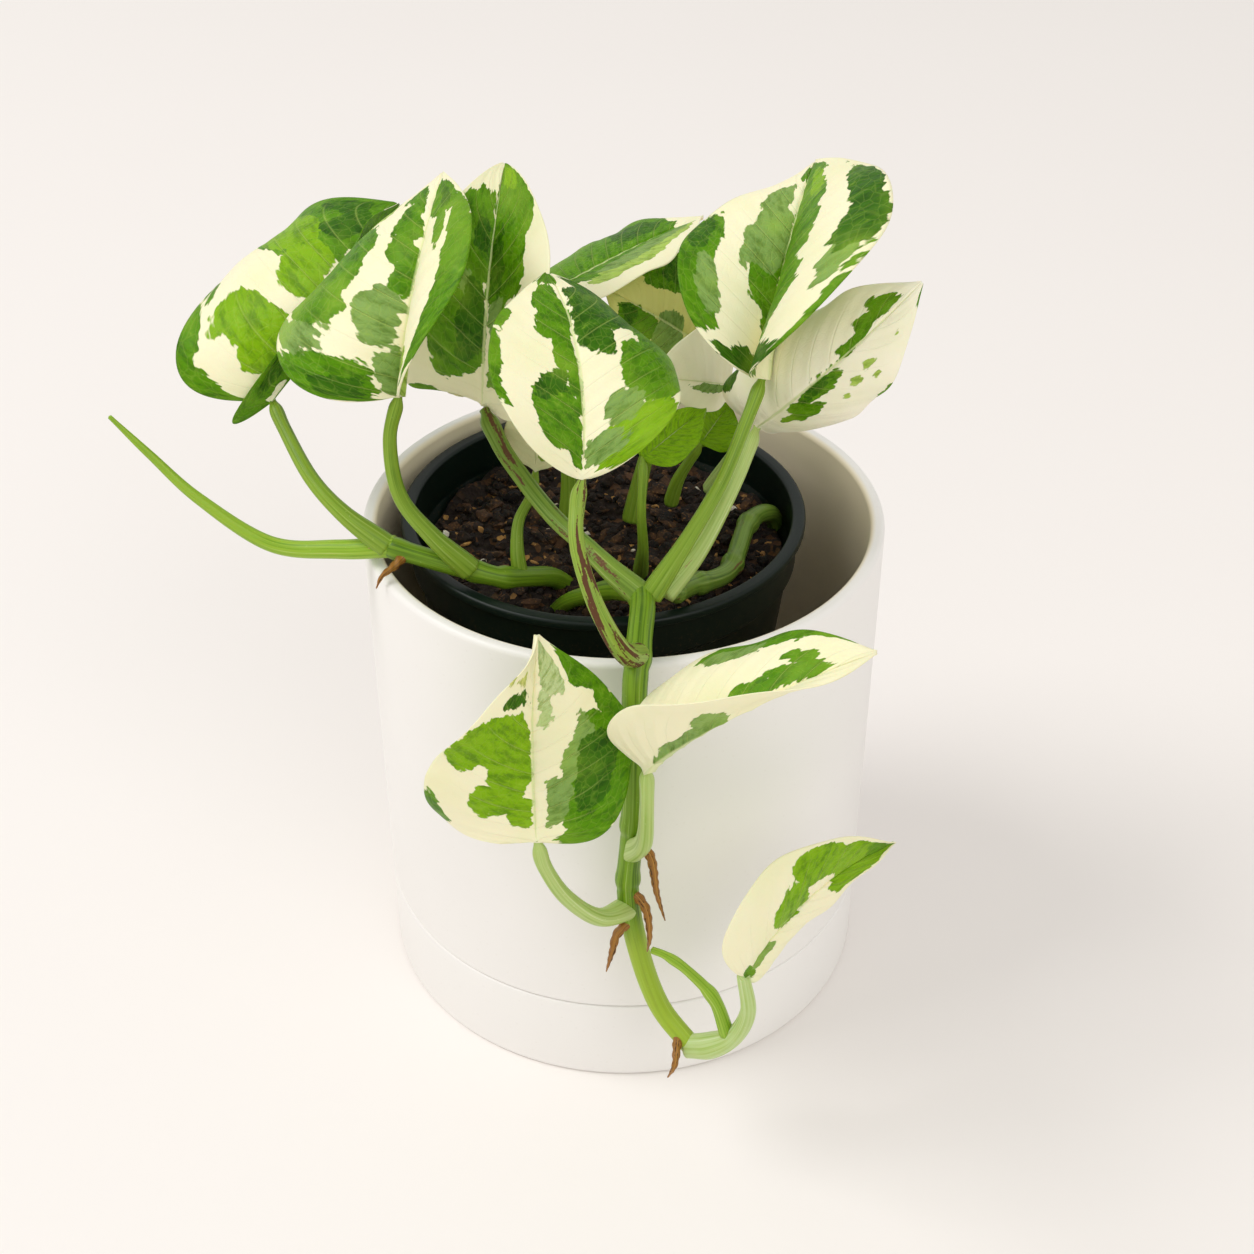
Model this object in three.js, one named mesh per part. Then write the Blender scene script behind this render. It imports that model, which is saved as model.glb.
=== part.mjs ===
// Potted pothos with cream and green leaves, in a nursery pot inside a straight white planter on its saucer.
// Units are millimetres. +Z is up and -Y is the front. The origin is the middle of the saucer's underside.
import * as THREE from "three";

// Planter and saucer.
const PLANTER_RADIUS = 63.5;
const PLANTER_TOP = 132;
const PLANTER_WALL = 3.5;
const PLANTER_FLOOR = 4;
const PLANTER_FOOT_WALL = 5;
const PLANTER_DRAIN_RADIUS = 6;
const SAUCER_HEIGHT = 25;
const SAUCER_WALL = 4;
const SAUCER_FLOOR = 4;
const RIM_ROUND = 1.4;
const SEAT_GAP = 0.3;
const FOOT_CLEARANCE = 0.4;

// Nursery pot and the soil in it. The pot stands off centre, so its gap to the planter has a
// narrow and a wide side.
const NURSERY_BELOW_RIM = 2.9;
const NURSERY_GAP_NARROW = 2.2;
const NURSERY_GAP_WIDE = 17.8;
const NURSERY_NARROW_SIDE = 130;
const NURSERY_TAPER = 14;
const NURSERY_WALL = 1.4;
const NURSERY_LIP = 2;
const NURSERY_BAND_HEIGHT = 12;
const NURSERY_BAND_STEP = 1.6;
const NURSERY_DRAIN_RADIUS = 5;
const SOIL_DEPTH_BELOW_RIM = 11;
const SOIL_LUMP = 1.3;
const SOIL_GAP = 0.3;

// Leaves and stems.
const VINE_RADIUS = 3.2;
const VINE_END_RADIUS = 2.6;
const PETIOLE_RADIUS = 2;
const PETIOLE_END_RADIUS = 1.5;
const ROOT_RADIUS = 1.1;
const ROOT_END_RADIUS = 0.4;
const SLIM_PETIOLE_RADII = [1.4, 1.1];
const STOUT_PETIOLE_RADII = [2.3, 2.1];
const BLADE_THICKNESS = 0.8;
const BLADE_GAP = 1.2;
const STEM_GAP = 0.6;
const BLADE_ROWS = 11;
const BLADE_COLUMNS = 8;
const STEM_SIDES = 8;
const ROUND_SEGMENTS = 48;

// The plant's points are set out around a planter of this radius and height.
const LAYOUT_RADIUS = 63.5;
const LAYOUT_TOP = 132;

// Sizes and places that follow from the sizes above.
const PLANTER_UNDERSIDE = SAUCER_HEIGHT + SEAT_GAP;
const PLANTER_INSIDE_FLOOR = PLANTER_UNDERSIDE + PLANTER_FLOOR;
const PLANTER_FOOT_RADIUS = PLANTER_RADIUS - SAUCER_WALL - FOOT_CLEARANCE;
const NURSERY_BASE = PLANTER_INSIDE_FLOOR + SEAT_GAP;
const NURSERY_TOP = PLANTER_TOP - NURSERY_BELOW_RIM;
const PLANTER_INSIDE_RADIUS = PLANTER_RADIUS - PLANTER_WALL;
const NURSERY_RIM_RADIUS = PLANTER_INSIDE_RADIUS - (NURSERY_GAP_NARROW + NURSERY_GAP_WIDE) / 2;
const NURSERY_BASE_RADIUS = NURSERY_RIM_RADIUS - NURSERY_TAPER;
const NURSERY_OFFSET = (NURSERY_GAP_WIDE - NURSERY_GAP_NARROW) / 2;
const NURSERY_X = NURSERY_OFFSET * Math.cos(THREE.MathUtils.degToRad(NURSERY_NARROW_SIDE));
const NURSERY_Y = NURSERY_OFFSET * Math.sin(THREE.MathUtils.degToRad(NURSERY_NARROW_SIDE));
const SOIL_LEVEL = NURSERY_TOP - SOIL_DEPTH_BELOW_RIM;

const WHITE = "#eeeae4";
const POT_GREEN = "#1d3a30";
const SOIL_BROWN = "#3b2a1e";
const LEAF_GREEN = "#7fa04a";
const STEM_GREEN = "#8aa850";
const ROOT_BROWN = "#8a6a42";

const part = new THREE.Group();
part.name = "potted_pothos";

function addPiece(name, geometry, color) {
  const material = new THREE.MeshStandardMaterial({ color, roughness: 0.5 });
  const mesh = new THREE.Mesh(geometry, material);
  mesh.name = name;
  part.add(mesh);
  return mesh;
}

// A turned shell from a closed outline of [radius, height] points, listed anticlockwise.
function turned(outline) {
  const points = [...outline, outline[0]].map(([r, z]) => new THREE.Vector2(r, z));
  const geometry = new THREE.LatheGeometry(points, ROUND_SEGMENTS);
  geometry.rotateX(Math.PI / 2);
  return geometry;
}

// A half-round rim from radius a to radius b, crowned at height top.
function roundedRim(a, b, top) {
  const middle = (a + b) / 2;
  const drop = Math.min(RIM_ROUND, Math.abs(a - b) / 2);
  return [0, 1, 2, 3, 4].map((i) => {
    const angle = (Math.PI * i) / 4;
    return [middle + ((a - b) / 2) * Math.cos(angle), top - drop + drop * Math.sin(angle)];
  });
}

// Saucer: a shallow straight dish that is flush with the planter above it.
addPiece(
  "saucer",
  turned([
    [0, 0],
    [PLANTER_RADIUS - 1, 0],
    [PLANTER_RADIUS, 1],
    [PLANTER_RADIUS, SAUCER_HEIGHT],
    [PLANTER_RADIUS - SAUCER_WALL, SAUCER_HEIGHT],
    [PLANTER_RADIUS - SAUCER_WALL, SAUCER_FLOOR],
    [0, SAUCER_FLOOR],
  ]),
  WHITE,
);

// Planter: a straight sleeve with a drained floor and a foot ring that nests in the saucer.
addPiece(
  "planter",
  turned([
    [PLANTER_DRAIN_RADIUS, PLANTER_UNDERSIDE],
    [PLANTER_FOOT_RADIUS - PLANTER_FOOT_WALL, PLANTER_UNDERSIDE],
    [PLANTER_FOOT_RADIUS - PLANTER_FOOT_WALL, SAUCER_FLOOR + SEAT_GAP],
    [PLANTER_FOOT_RADIUS, SAUCER_FLOOR + SEAT_GAP],
    [PLANTER_FOOT_RADIUS, PLANTER_UNDERSIDE],
    [PLANTER_RADIUS, PLANTER_UNDERSIDE],
    ...roundedRim(PLANTER_RADIUS, PLANTER_INSIDE_RADIUS, PLANTER_TOP),
    [PLANTER_INSIDE_RADIUS, PLANTER_INSIDE_FLOOR],
    [PLANTER_DRAIN_RADIUS, PLANTER_INSIDE_FLOOR],
  ]),
  WHITE,
);

// Nursery pot: a thin tapered pot with a stepped band and a rolled lip, set off centre in the planter.
const bandFoot = NURSERY_TOP - NURSERY_BAND_HEIGHT;
const nurseryWallTop = NURSERY_RIM_RADIUS - NURSERY_LIP;
const belowBand = nurseryWallTop - NURSERY_BAND_STEP;
const nursery = addPiece(
  "nursery_pot",
  turned([
    [NURSERY_DRAIN_RADIUS, NURSERY_BASE],
    [NURSERY_BASE_RADIUS, NURSERY_BASE],
    [belowBand, bandFoot - NURSERY_BAND_STEP],
    [nurseryWallTop, bandFoot],
    [nurseryWallTop, NURSERY_TOP - NURSERY_LIP * 1.6],
    [NURSERY_RIM_RADIUS, NURSERY_TOP - NURSERY_LIP],
    ...roundedRim(NURSERY_RIM_RADIUS, nurseryWallTop - NURSERY_WALL, NURSERY_TOP),
    [nurseryWallTop - NURSERY_WALL, bandFoot + NURSERY_WALL],
    [belowBand - NURSERY_WALL, bandFoot - NURSERY_BAND_STEP],
    [NURSERY_BASE_RADIUS - NURSERY_WALL, NURSERY_BASE + NURSERY_WALL],
    [NURSERY_DRAIN_RADIUS, NURSERY_BASE + NURSERY_WALL],
  ]),
  POT_GREEN,
);
nursery.position.set(NURSERY_X, NURSERY_Y, 0);

// Soil: one plug that fills the nursery pot, with a lumpy top.
function soilHeight(x, y) {
  const lumps = Math.sin(x * 0.31 + 1) * Math.cos(y * 0.27) + 0.6 * Math.sin(x * 0.13 - y * 0.19);
  return SOIL_LEVEL + SOIL_LUMP * lumps;
}

function soilGeometry() {
  const rings = 9;
  const segments = 40;
  const wallRadius = (z) => {
    const lower = NURSERY_BASE_RADIUS - NURSERY_WALL;
    const upper = belowBand - NURSERY_WALL;
    const share = (z - NURSERY_BASE) / (bandFoot - NURSERY_BAND_STEP - NURSERY_BASE);
    return Math.min(lower + (upper - lower) * share, upper) - SOIL_GAP * 2;
  };
  const bottom = NURSERY_BASE + NURSERY_WALL + SOIL_GAP;
  const shoulder = bandFoot - NURSERY_BAND_STEP;
  const vertices = [0, 0, bottom];
  const faces = [];
  const ring = (radius, height) => {
    const first = vertices.length / 3;
    for (let i = 0; i < segments; i++) {
      const angle = (2 * Math.PI * i) / segments;
      const x = radius * Math.cos(angle);
      const y = radius * Math.sin(angle);
      vertices.push(x, y, height(x, y));
    }
    return first;
  };
  const starts = [ring(wallRadius(bottom), () => bottom), ring(wallRadius(shoulder), () => shoulder)];
  for (let i = rings; i > 0; i--)
    starts.push(ring((wallRadius(shoulder) * i) / rings, (x, y) => soilHeight(x, y)));
  const centre = vertices.length / 3;
  vertices.push(0, 0, soilHeight(0, 0));
  for (let i = 0; i < segments; i++) {
    const next = (i + 1) % segments;
    faces.push(0, starts[0] + next, starts[0] + i);
    for (let k = 0; k + 1 < starts.length; k++) {
      faces.push(starts[k] + i, starts[k] + next, starts[k + 1] + next);
      faces.push(starts[k] + i, starts[k + 1] + next, starts[k + 1] + i);
    }
    const last = starts[starts.length - 1];
    faces.push(last + i, last + next, centre);
  }
  return closedGeometry(vertices, faces);
}

function closedGeometry(vertices, faces) {
  const geometry = new THREE.BufferGeometry();
  geometry.setAttribute("position", new THREE.Float32BufferAttribute(vertices, 3));
  geometry.setIndex(faces);
  geometry.computeVertexNormals();
  return geometry;
}

const soil = addPiece("soil", soilGeometry(), SOIL_BROWN);
soil.position.set(NURSERY_X, NURSERY_Y, 0);

// Where a set-out point lies on this planter: up with its rim, and outwards with its wall.
function place([x, y, z]) {
  const wider = PLANTER_RADIUS - LAYOUT_RADIUS;
  const outX = Math.min(Math.max(x / LAYOUT_RADIUS, -1), 1);
  const outY = Math.min(Math.max(y / LAYOUT_RADIUS, -1), 1);
  return [x + wider * outX, y + wider * outY, z + PLANTER_TOP - LAYOUT_TOP];
}

// The points of a leaf or shoot, carried along as one with its foot on the vine.
function carried(points, foot) {
  const [x, y, z] = place(foot).map((value, i) => value - foot[i]);
  return points.map((p) => [p[0] + x, p[1] + y, p[2] + z]);
}

// Stems. A stem is a tapered round rod along a smooth path, closed at both ends.
// "clear" shortens it at its start and end, so it stops short of the piece that it grows from or carries.
function stemGeometry({ path, radius, clear = [0, 0], rings = 10, sides = STEM_SIDES }) {
  const points = path.map((p) => new THREE.Vector3(...p));
  const curve = new THREE.CatmullRomCurve3(points, false, "catmullrom", 0.5);
  curve.arcLengthDivisions = 400;
  const length = curve.getLength();
  const vertices = [];
  const faces = [];
  const tangent = new THREE.Vector3();
  let side = new THREE.Vector3();
  for (let i = 0; i <= rings; i++) {
    const share = THREE.MathUtils.lerp(clear[0] / length, 1 - clear[1] / length, i / rings);
    const centre = curve.getPointAt(share);
    curve.getTangentAt(share, tangent);
    if (i === 0) side.crossVectors(tangent, new THREE.Vector3(0.3, 0.9, 0.1)).normalize();
    side.addScaledVector(tangent, -side.dot(tangent)).normalize();
    const other = new THREE.Vector3().crossVectors(tangent, side);
    const r = radius[0] + (radius[1] - radius[0]) * share;
    for (let k = 0; k < sides; k++) {
      const angle = (2 * Math.PI * k) / sides;
      const out = centre.clone().addScaledVector(side, r * Math.cos(angle));
      out.addScaledVector(other, r * Math.sin(angle));
      vertices.push(out.x, out.y, out.z);
    }
  }
  for (let i = 0; i < rings; i++)
    for (let k = 0; k < sides; k++) {
      const a = i * sides + k;
      const b = i * sides + ((k + 1) % sides);
      faces.push(a, b, b + sides, a, b + sides, a + sides);
    }
  const end = rings * sides;
  for (let k = 1; k + 1 < sides; k++) {
    faces.push(0, k + 1, k);
    faces.push(end, end + k, end + k + 1);
  }
  return closedGeometry(vertices, faces);
}

const offVine = VINE_RADIUS + STEM_GAP;

const vines = {
  // Leaves the soil, climbs over both rims and hangs down the planter's front.
  front_vine: {
    path: [
      [-13.5, -24, 121], [-8, -28, 126], [-1, -35, 132.5], [4, -46, 138], [3.5, -62, 137.5],
      [2.5, -71, 131], [2.5, -74, 114], [2, -75, 94.5], [1, -75, 76], [3.5, -76, 58],
      [8.5, -79, 42.5], [16, -84, 34],
    ],
    radius: [VINE_RADIUS, VINE_END_RADIUS],
    clear: [0, 1.5],
    rings: 34,
  },
  // The growing end of the front vine, which turns up again.
  front_vine_end: {
    path: [[16, -84, 34], [21, -86, 36.5], [26, -89, 43], [28.5, -91, 53.5], [27, -92, 66]],
    radius: [VINE_END_RADIUS, PETIOLE_END_RADIUS],
    clear: [2.6, 4.6],
  },
  // Leaves the soil and rests on the left side of the planter's rim.
  left_vine: {
    path: [
      [-17, -15, 122], [-22, -22, 127], [-28.5, -28, 131], [-35.5, -28, 133], [-45, -27, 135.5],
      [-55, -24, 137],
    ],
    radius: [VINE_RADIUS - 0.6, VINE_RADIUS - 0.7],
    rings: 16,
  },
  // A stem that lies on the soil on the right.
  soil_vine: {
    path: [[37, 14.5, 121.5], [31, 6, 124], [25, -16, 124.5], [15.5, -28, 128.5], [12, -36, 132]],
    radius: [VINE_RADIUS - 0.8, VINE_RADIUS - 0.6],
    rings: 14,
  },
};

const shoots = {
  // A rolled new leaf at the free end of the left vine.
  new_leaf: {
    path: [
      [-55, -24, 137], [-66.5, -22, 135], [-83, -19, 134.5], [-99, -16, 145], [-109.5, -13, 155],
      [-118, -11, 164],
    ],
    radius: [2.6, 0.7],
    clear: [1.4, 0],
    rings: 16,
  },
  young_shoot: {
    path: [[24.5, -88, 41.5], [21, -87, 53], [15, -85, 60], [10, -83, 63], [6.5, -82, 64]],
    radius: [2, 0.9],
    clear: [4.5, 0],
  },
};

// Leaves. A blade grows from base to tip along an arched midrib; face is the way its upper side looks.
// Pairs are [left half, right half], seen from the upper side with the tip up. Angles are in degrees.
// width: greatest half width. fold: how steeply a half rises from the midrib at the base, foldTip at
// the tip. curl: further turn from midrib to margin, negative when the margin rolls down.
// peak: how near the base the blade is widest. arch: turn of the midrib from base to tip.
// lobe: depth of the heart-shaped base. sway: sideways bow of the midrib. twist: turn about the midrib.
const leaves = {
  front: {
    base: [-8.5, -56, 174.5], tip: [-16, -18, 202.5], face: [0.2, -0.8, 0.6], arch: 80,
    width: [19, 25], fold: [16, 41], foldTip: [-7, -7], curl: [2, -75], peak: [0.9, 0.9],
    lobe: [0, 0], sway: 0.03, twist: -12,
    petiole: [[3.2, -66, 136.5], [0.5, -72.5, 142], [-2.5, -74, 148], [-6.5, -71, 156],
      [-9.5, -65, 164.5], [-9.5, -59, 170], [-8.5, -56, 174.5]],
  },
  mid_left: {
    base: [-49.5, -24, 176.5], tip: [-40.5, 10.5, 213.5], face: [-0.6, -0.7, 0.35], arch: 74,
    width: [38, 18.5], fold: [60, 66], foldTip: [-2, 7], curl: [-75, -50], peak: [0.74, 0.87],
    lobe: [0.01, 0.01], sway: 0.13, twist: 10,
    petiole: [[-35.5, -28.5, 133.5], [-44, -29, 143.5], [-50.5, -28, 153.5], [-52, -26, 166.5],
      [-49.5, -24, 176.5]],
    footExtra: 5.2,
  },
  far_left: {
    base: [-83, 2.5, 160.5], tip: [-54.2, 36.2, 195.0], face: [-0.85, -0.15, 0.5], arch: 0,
    width: [49.5, 11.5], fold: [76.5, 110], foldTip: [56, 60], curl: [-85, -79], peak: [1.27, 1.3],
    lobe: [0.2, 0.23], sway: 0.165, twist: 14.5,
    petiole: [[-55, -24, 137], [-64.5, -22, 144.5], [-72.5, -15, 150], [-79.5, -4, 156.5],
      [-83, 2.5, 160.5]],
    footExtra: 3.2,
  },
  tall: {
    base: [-32, -8, 165.5], tip: [-26.5, 13, 215.5], face: [-0.15, -0.95, 0.3], arch: 80,
    width: [22, 21], fold: [-15, 32], foldTip: [9, 30], curl: [15, 14], peak: [0.56, 0.75],
    lobe: [0.14, 0.03], sway: 0.01, twist: -16,
    petiole: [[4, -46, 138], [-2.5, -42, 141.9], [-8.4, -36, 144.6], [-14.4, -30, 146.9],
      [-19, -25, 149.7], [-23.4, -20.5, 153.6], [-27.4, -16.5, 157.8], [-30.2, -13, 161.6],
      [-31.4, -10.6, 163.6]],
    footExtra: 2.2,
    stout: true,
  },
  right_top: {
    base: [30.5, -22, 179.5], tip: [44, 25.5, 210], face: [-0.4, -0.7, 0.6], arch: 65,
    width: [23.5, 36], fold: [79, 92], foldTip: [-20, 34], curl: [-23, -75], peak: [0.69, 0.63],
    lobe: [0, 0], sway: 0.04, twist: -12,
    petiole: [[6, -46, 138.5], [14.5, -42, 151.5], [21.5, -36, 162], [27, -28, 172.5],
      [30.5, -22, 179.5]],
  },
  right_low: {
    base: [31, -12, 162.5], tip: [62.5, -28, 205.5], face: [0.05, -0.7, 0.75], arch: 80,
    width: [17.5, 15], fold: [15, -15], foldTip: [9, -5], curl: [-75, -75], peak: [0.9, 0.9],
    lobe: [0.22, 0.22], sway: 0.06, twist: 25,
    petiole: [[9, -42, 136], [17.5, -34, 143], [25.5, -22, 153], [30.5, -12.5, 161.5]],
  },
  pale_left: {
    base: [-20.5, -11, 149.7], tip: [-19.6, -8, 169], face: [-0.1, -0.9, 0.4], arch: 25,
    width: [7.5, 9], fold: [15, 15], curl: [-10, -10], peak: [0.95, 0.95], lobe: [0, 0],
    petiole: [[-24.3, -24, 128.5], [-25, -22, 135.1], [-24.5, -18, 140.3], [-21.7, -14, 144.7],
      [-20.5, -11, 149.7]],
    slim: true,
  },
  back_top: {
    base: [-15, 14, 184], tip: [18.5, 35, 192.5], face: [0, -0.15, 1], arch: 12,
    width: [22, 17.5], fold: [-5, 25], foldTip: [-6, 33], curl: [-44, -20], peak: [0.79, 0.79],
    lobe: [0.1, 0.1], twist: -1,
    petiole: [[-14, 8, 121.5], [-14, 10, 140], [-18, 11, 165], [-15, 14, 184]],
    inSoil: true,
  },
  back_mid: {
    base: [18, 12, 170.5], tip: [-3.5, 12, 184.5], face: [0, -0.6, 0.8], arch: 20,
    width: [16, 18], fold: [10, 20], curl: [-10, -10], peak: [0.74, 0.74], lobe: [0.05, 0.05],
    petiole: [[2, 12, 121.5], [6, 14, 140], [14, 14, 158], [18, 12, 170.5]],
    inSoil: true,
  },
  back_right: {
    base: [25, 6, 163], tip: [6.5, -4, 170.5], face: [0, -0.85, 0.5], arch: 20,
    width: [7, 15], fold: [10, 20], curl: [-10, -10], peak: [0.74, 0.74], lobe: [0.05, 0.05],
    petiole: [[22, 26, 121.5], [30, 22, 140], [29, 13, 155], [25, 6, 163]],
    inSoil: true,
    slim: true,
  },
  under: {
    base: [4.5, -20, 158], tip: [18.5, -8, 164], face: [0.1, -0.5, 0.8], arch: 20,
    width: [6, 7], fold: [10, 20], curl: [-10, -10], peak: [0.74, 0.74], lobe: [0.05, 0.05],
    petiole: [[4, -12, 121.5], [4.5, -20, 134], [4, -23, 146], [4.5, -20, 158]],
    inSoil: true,
    slim: true,
  },
  back_small: {
    base: [19, 14, 142], tip: [26, 22, 148.5], face: [0, -0.6, 0.8], arch: 20,
    width: [8, 8], fold: [10, 20], curl: [-10, -10], peak: [0.74, 0.74], lobe: [0.05, 0.05],
    petiole: [[12, 20, 121.5], [14, 18, 130], [19, 14, 142]],
    inSoil: true,
    slim: true,
  },
  low_left: {
    base: [-18.5, -88, 103], tip: [-18, -76, 148.5], face: [0, -0.8, 0.6], arch: 8,
    width: [24.5, 22.5], fold: [27, 14], foldTip: [73, 0], curl: [-70, -40], peak: [0.55, 0.9],
    lobe: [0.07, 0.07], sway: -0.02, twist: -21,
    petiole: [[1, -75, 70.5], [-5.5, -84, 76.5], [-12.5, -88.5, 87], [-17, -89, 96.5],
      [-18.5, -88, 103]],
    footExtra: 0.8,
  },
  low_right: {
    base: [5, -84, 120], tip: [49, -98, 161], face: [0, -0.2, 1], arch: 69,
    width: [23.5, 14.5], fold: [58, 92], foldTip: [5, 21], curl: [-75, 32], peak: [0.73, 0.67],
    lobe: [0, 0], sway: 0.13, twist: -25,
    petiole: [[2, -75, 88.5], [4.5, -82.5, 98], [5, -84.5, 109], [5, -84, 120]],
    footExtra: 2.7,
  },
  low_tip: {
    base: [27, -92, 66], tip: [61.5, -68, 84], face: [0.45, -0.75, 0.5], arch: 44,
    width: [19, 10], fold: [52, 0], foldTip: [46, 0], curl: [-54, -75], peak: [0.6, 0.5],
    lobe: [0.07, 0.07], sway: -0.13, twist: 16,
  },
};

const radians = THREE.MathUtils.degToRad;

function petioleRadii(leaf) {
  if (leaf.slim) return SLIM_PETIOLE_RADII;
  return leaf.stout ? STOUT_PETIOLE_RADII : [PETIOLE_RADIUS, PETIOLE_END_RADIUS];
}

// A point of a blade: u runs from base to tip, v from the left margin (-1) to the right one (1).
function bladePoint(leaf, u, v) {
  const { sway = 0, twist = 0, foldTip = leaf.fold } = leaf;
  const half = v < 0 ? 0 : 1;
  const base = new THREE.Vector3(...leaf.base);
  const chord = new THREE.Vector3(...leaf.tip).sub(base);
  const forward = chord.clone().normalize();
  const up = new THREE.Vector3(...leaf.face);
  up.addScaledVector(forward, -up.dot(forward)).normalize();
  const right = new THREE.Vector3().crossVectors(forward, up);
  const arch = radians(Math.max(leaf.arch, 0.01));
  const length = (chord.length() * arch) / (2 * Math.sin(arch / 2));

  const width = leaf.width[half];
  const marginOut = width * Math.sin(Math.PI * u ** leaf.peak[half]) ** 0.82;
  const lobeBack = u < 0.36 ? Math.sin((Math.PI * u) / 0.36) : 0;
  const marginAlong = length * (u - 1.4 * leaf.lobe[half] * lobeBack);
  const ribAlong = length * u ** 1.15;
  const out = Math.abs(v) * marginOut;
  const along = (ribAlong + (marginAlong - ribAlong) * Math.abs(v) ** 1.2) / length;
  const towardsTip = Math.min(Math.max(along, 0), 1);

  const lean = radians(leaf.fold[half] + (foldTip[half] - leaf.fold[half]) * towardsTip);
  const roll = radians(leaf.curl[half]);
  const turn = lean + (roll * out) / width;
  const across = ((Math.sin(turn) - Math.sin(lean)) * width) / roll;
  const rise = ((Math.cos(lean) - Math.cos(turn)) * width) / roll;

  const start = -arch / 2;
  const here = arch * (along - 0.5);
  const point = base.clone();
  point.addScaledVector(forward, (length / arch) * (Math.sin(here) - Math.sin(start)));
  point.addScaledVector(up, (length / arch) * (Math.cos(here) - Math.cos(start)));
  point.addScaledVector(right, sway * length * 4 * along * (1 - along));
  const ribUp = up.clone().multiplyScalar(Math.cos(here)).addScaledVector(forward, Math.sin(here));
  const turnAbout = radians(twist) * (along - 0.5);
  const sideways = right.clone().multiplyScalar(Math.cos(turnAbout));
  sideways.addScaledVector(ribUp, Math.sin(turnAbout));
  const outwards = ribUp.clone().multiplyScalar(Math.cos(turnAbout));
  outwards.addScaledVector(right, -Math.sin(turnAbout));
  point.addScaledVector(sideways, (half ? 1 : -1) * across);
  return point.addScaledVector(outwards, rise);
}

// A blade as a thin closed sheet, half its thickness on each side of the surface above.
function bladeGeometry(leaf) {
  const rows = BLADE_ROWS;
  const columns = BLADE_COLUMNS;
  const surface = (i, j) => {
    const u = 0.02 + (0.96 * Math.min(Math.max(i, 0), rows)) / rows;
    const v = -1 + (2 * Math.min(Math.max(j, 0), columns)) / columns;
    return bladePoint(leaf, u, v);
  };
  const vertices = [];
  for (const side of [0.5, -0.5])
    for (let i = 0; i <= rows; i++)
      for (let j = 0; j <= columns; j++) {
        const along = surface(i + 1, j).sub(surface(i - 1, j));
        const across = surface(i, j + 1).sub(surface(i, j - 1));
        const normal = across.cross(along).normalize();
        const p = surface(i, j).addScaledVector(normal, side * BLADE_THICKNESS);
        vertices.push(p.x, p.y, p.z);
      }
  const faces = [];
  const span = columns + 1;
  const under = (rows + 1) * span;
  const quad = (a, b, c, d) => faces.push(a, b, c, a, c, d);
  for (let i = 0; i < rows; i++)
    for (let j = 0; j < columns; j++) {
      const a = i * span + j;
      quad(a, a + 1, a + 1 + span, a + span);
      quad(under + a, under + a + span, under + a + 1 + span, under + a + 1);
    }
  for (let j = 0; j < columns; j++) {
    const a = rows * span + j;
    quad(under + j, under + j + 1, j + 1, j);
    quad(a, a + 1, under + a + 1, under + a);
  }
  for (let i = 0; i < rows; i++) {
    const a = i * span;
    const b = a + columns;
    quad(a, a + span, under + a + span, under + a);
    quad(b, under + b, under + b + span, b + span);
  }
  return closedGeometry(vertices, faces);
}

for (const [name, stem] of Object.entries(vines)) {
  const path = stem.path.map(place);
  addPiece(name, stemGeometry({ ...stem, path }), STEM_GREEN);
}
for (const [name, stem] of Object.entries(shoots)) {
  const path = carried(stem.path, stem.path[0]);
  addPiece(name, stemGeometry({ ...stem, path }), STEM_GREEN);
}
for (const [name, leaf] of Object.entries(leaves)) {
  const foot = leaf.petiole ? leaf.petiole[0] : leaf.base;
  const [base, tip] = carried([leaf.base, leaf.tip], foot);
  addPiece(`leaf_${name}`, bladeGeometry({ ...leaf, base, tip }), LEAF_GREEN);
  if (!leaf.petiole) continue;
  const path = carried(leaf.petiole, foot);
  const radius = petioleRadii(leaf);
  const clear = [leaf.inSoil ? 0 : offVine + (leaf.footExtra ?? 0), BLADE_GAP];
  addPiece(`petiole_${name}`, stemGeometry({ path, radius, clear }), STEM_GREEN);
}

// Aerial roots: short brown tapering rods. Each starts on a vine's centre line and is cut off its skin.
const roots = {
  root_long: [[2, -75, 93], [6, -77.5, 89], [7.5, -79.5, 80], [9.5, -79.5, 71]],
  root_middle: [[1.2, -75, 77], [5, -78, 73.5], [6, -81, 67.5], [5.5, -80, 61.5]],
  root_left: [[2, -75.5, 68], [-1.5, -79, 66], [-2.5, -81, 63], [-4, -81, 56]],
  root_tip: [[13, -82, 37], [12.5, -87, 35], [12, -89.5, 33], [10.5, -89, 28.5]],
  root_side: [[-50, -25.5, 136.5], [-53, -29.5, 135], [-55.5, -32, 134], [-57, -32.5, 131]],
};
for (const [name, points] of Object.entries(roots)) {
  const clear = [offVine + 0.4, 0];
  const radius = [ROOT_RADIUS, ROOT_END_RADIUS];
  const path = carried(points, points[0]);
  const geometry = stemGeometry({ path, radius, clear, rings: 5, sides: 6 });
  addPiece(name, geometry, ROOT_BROWN);
}

export default part;
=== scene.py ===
import math
import random

import bmesh
import bpy
import numpy as np
from mathutils import Matrix, Vector, noise


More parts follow.
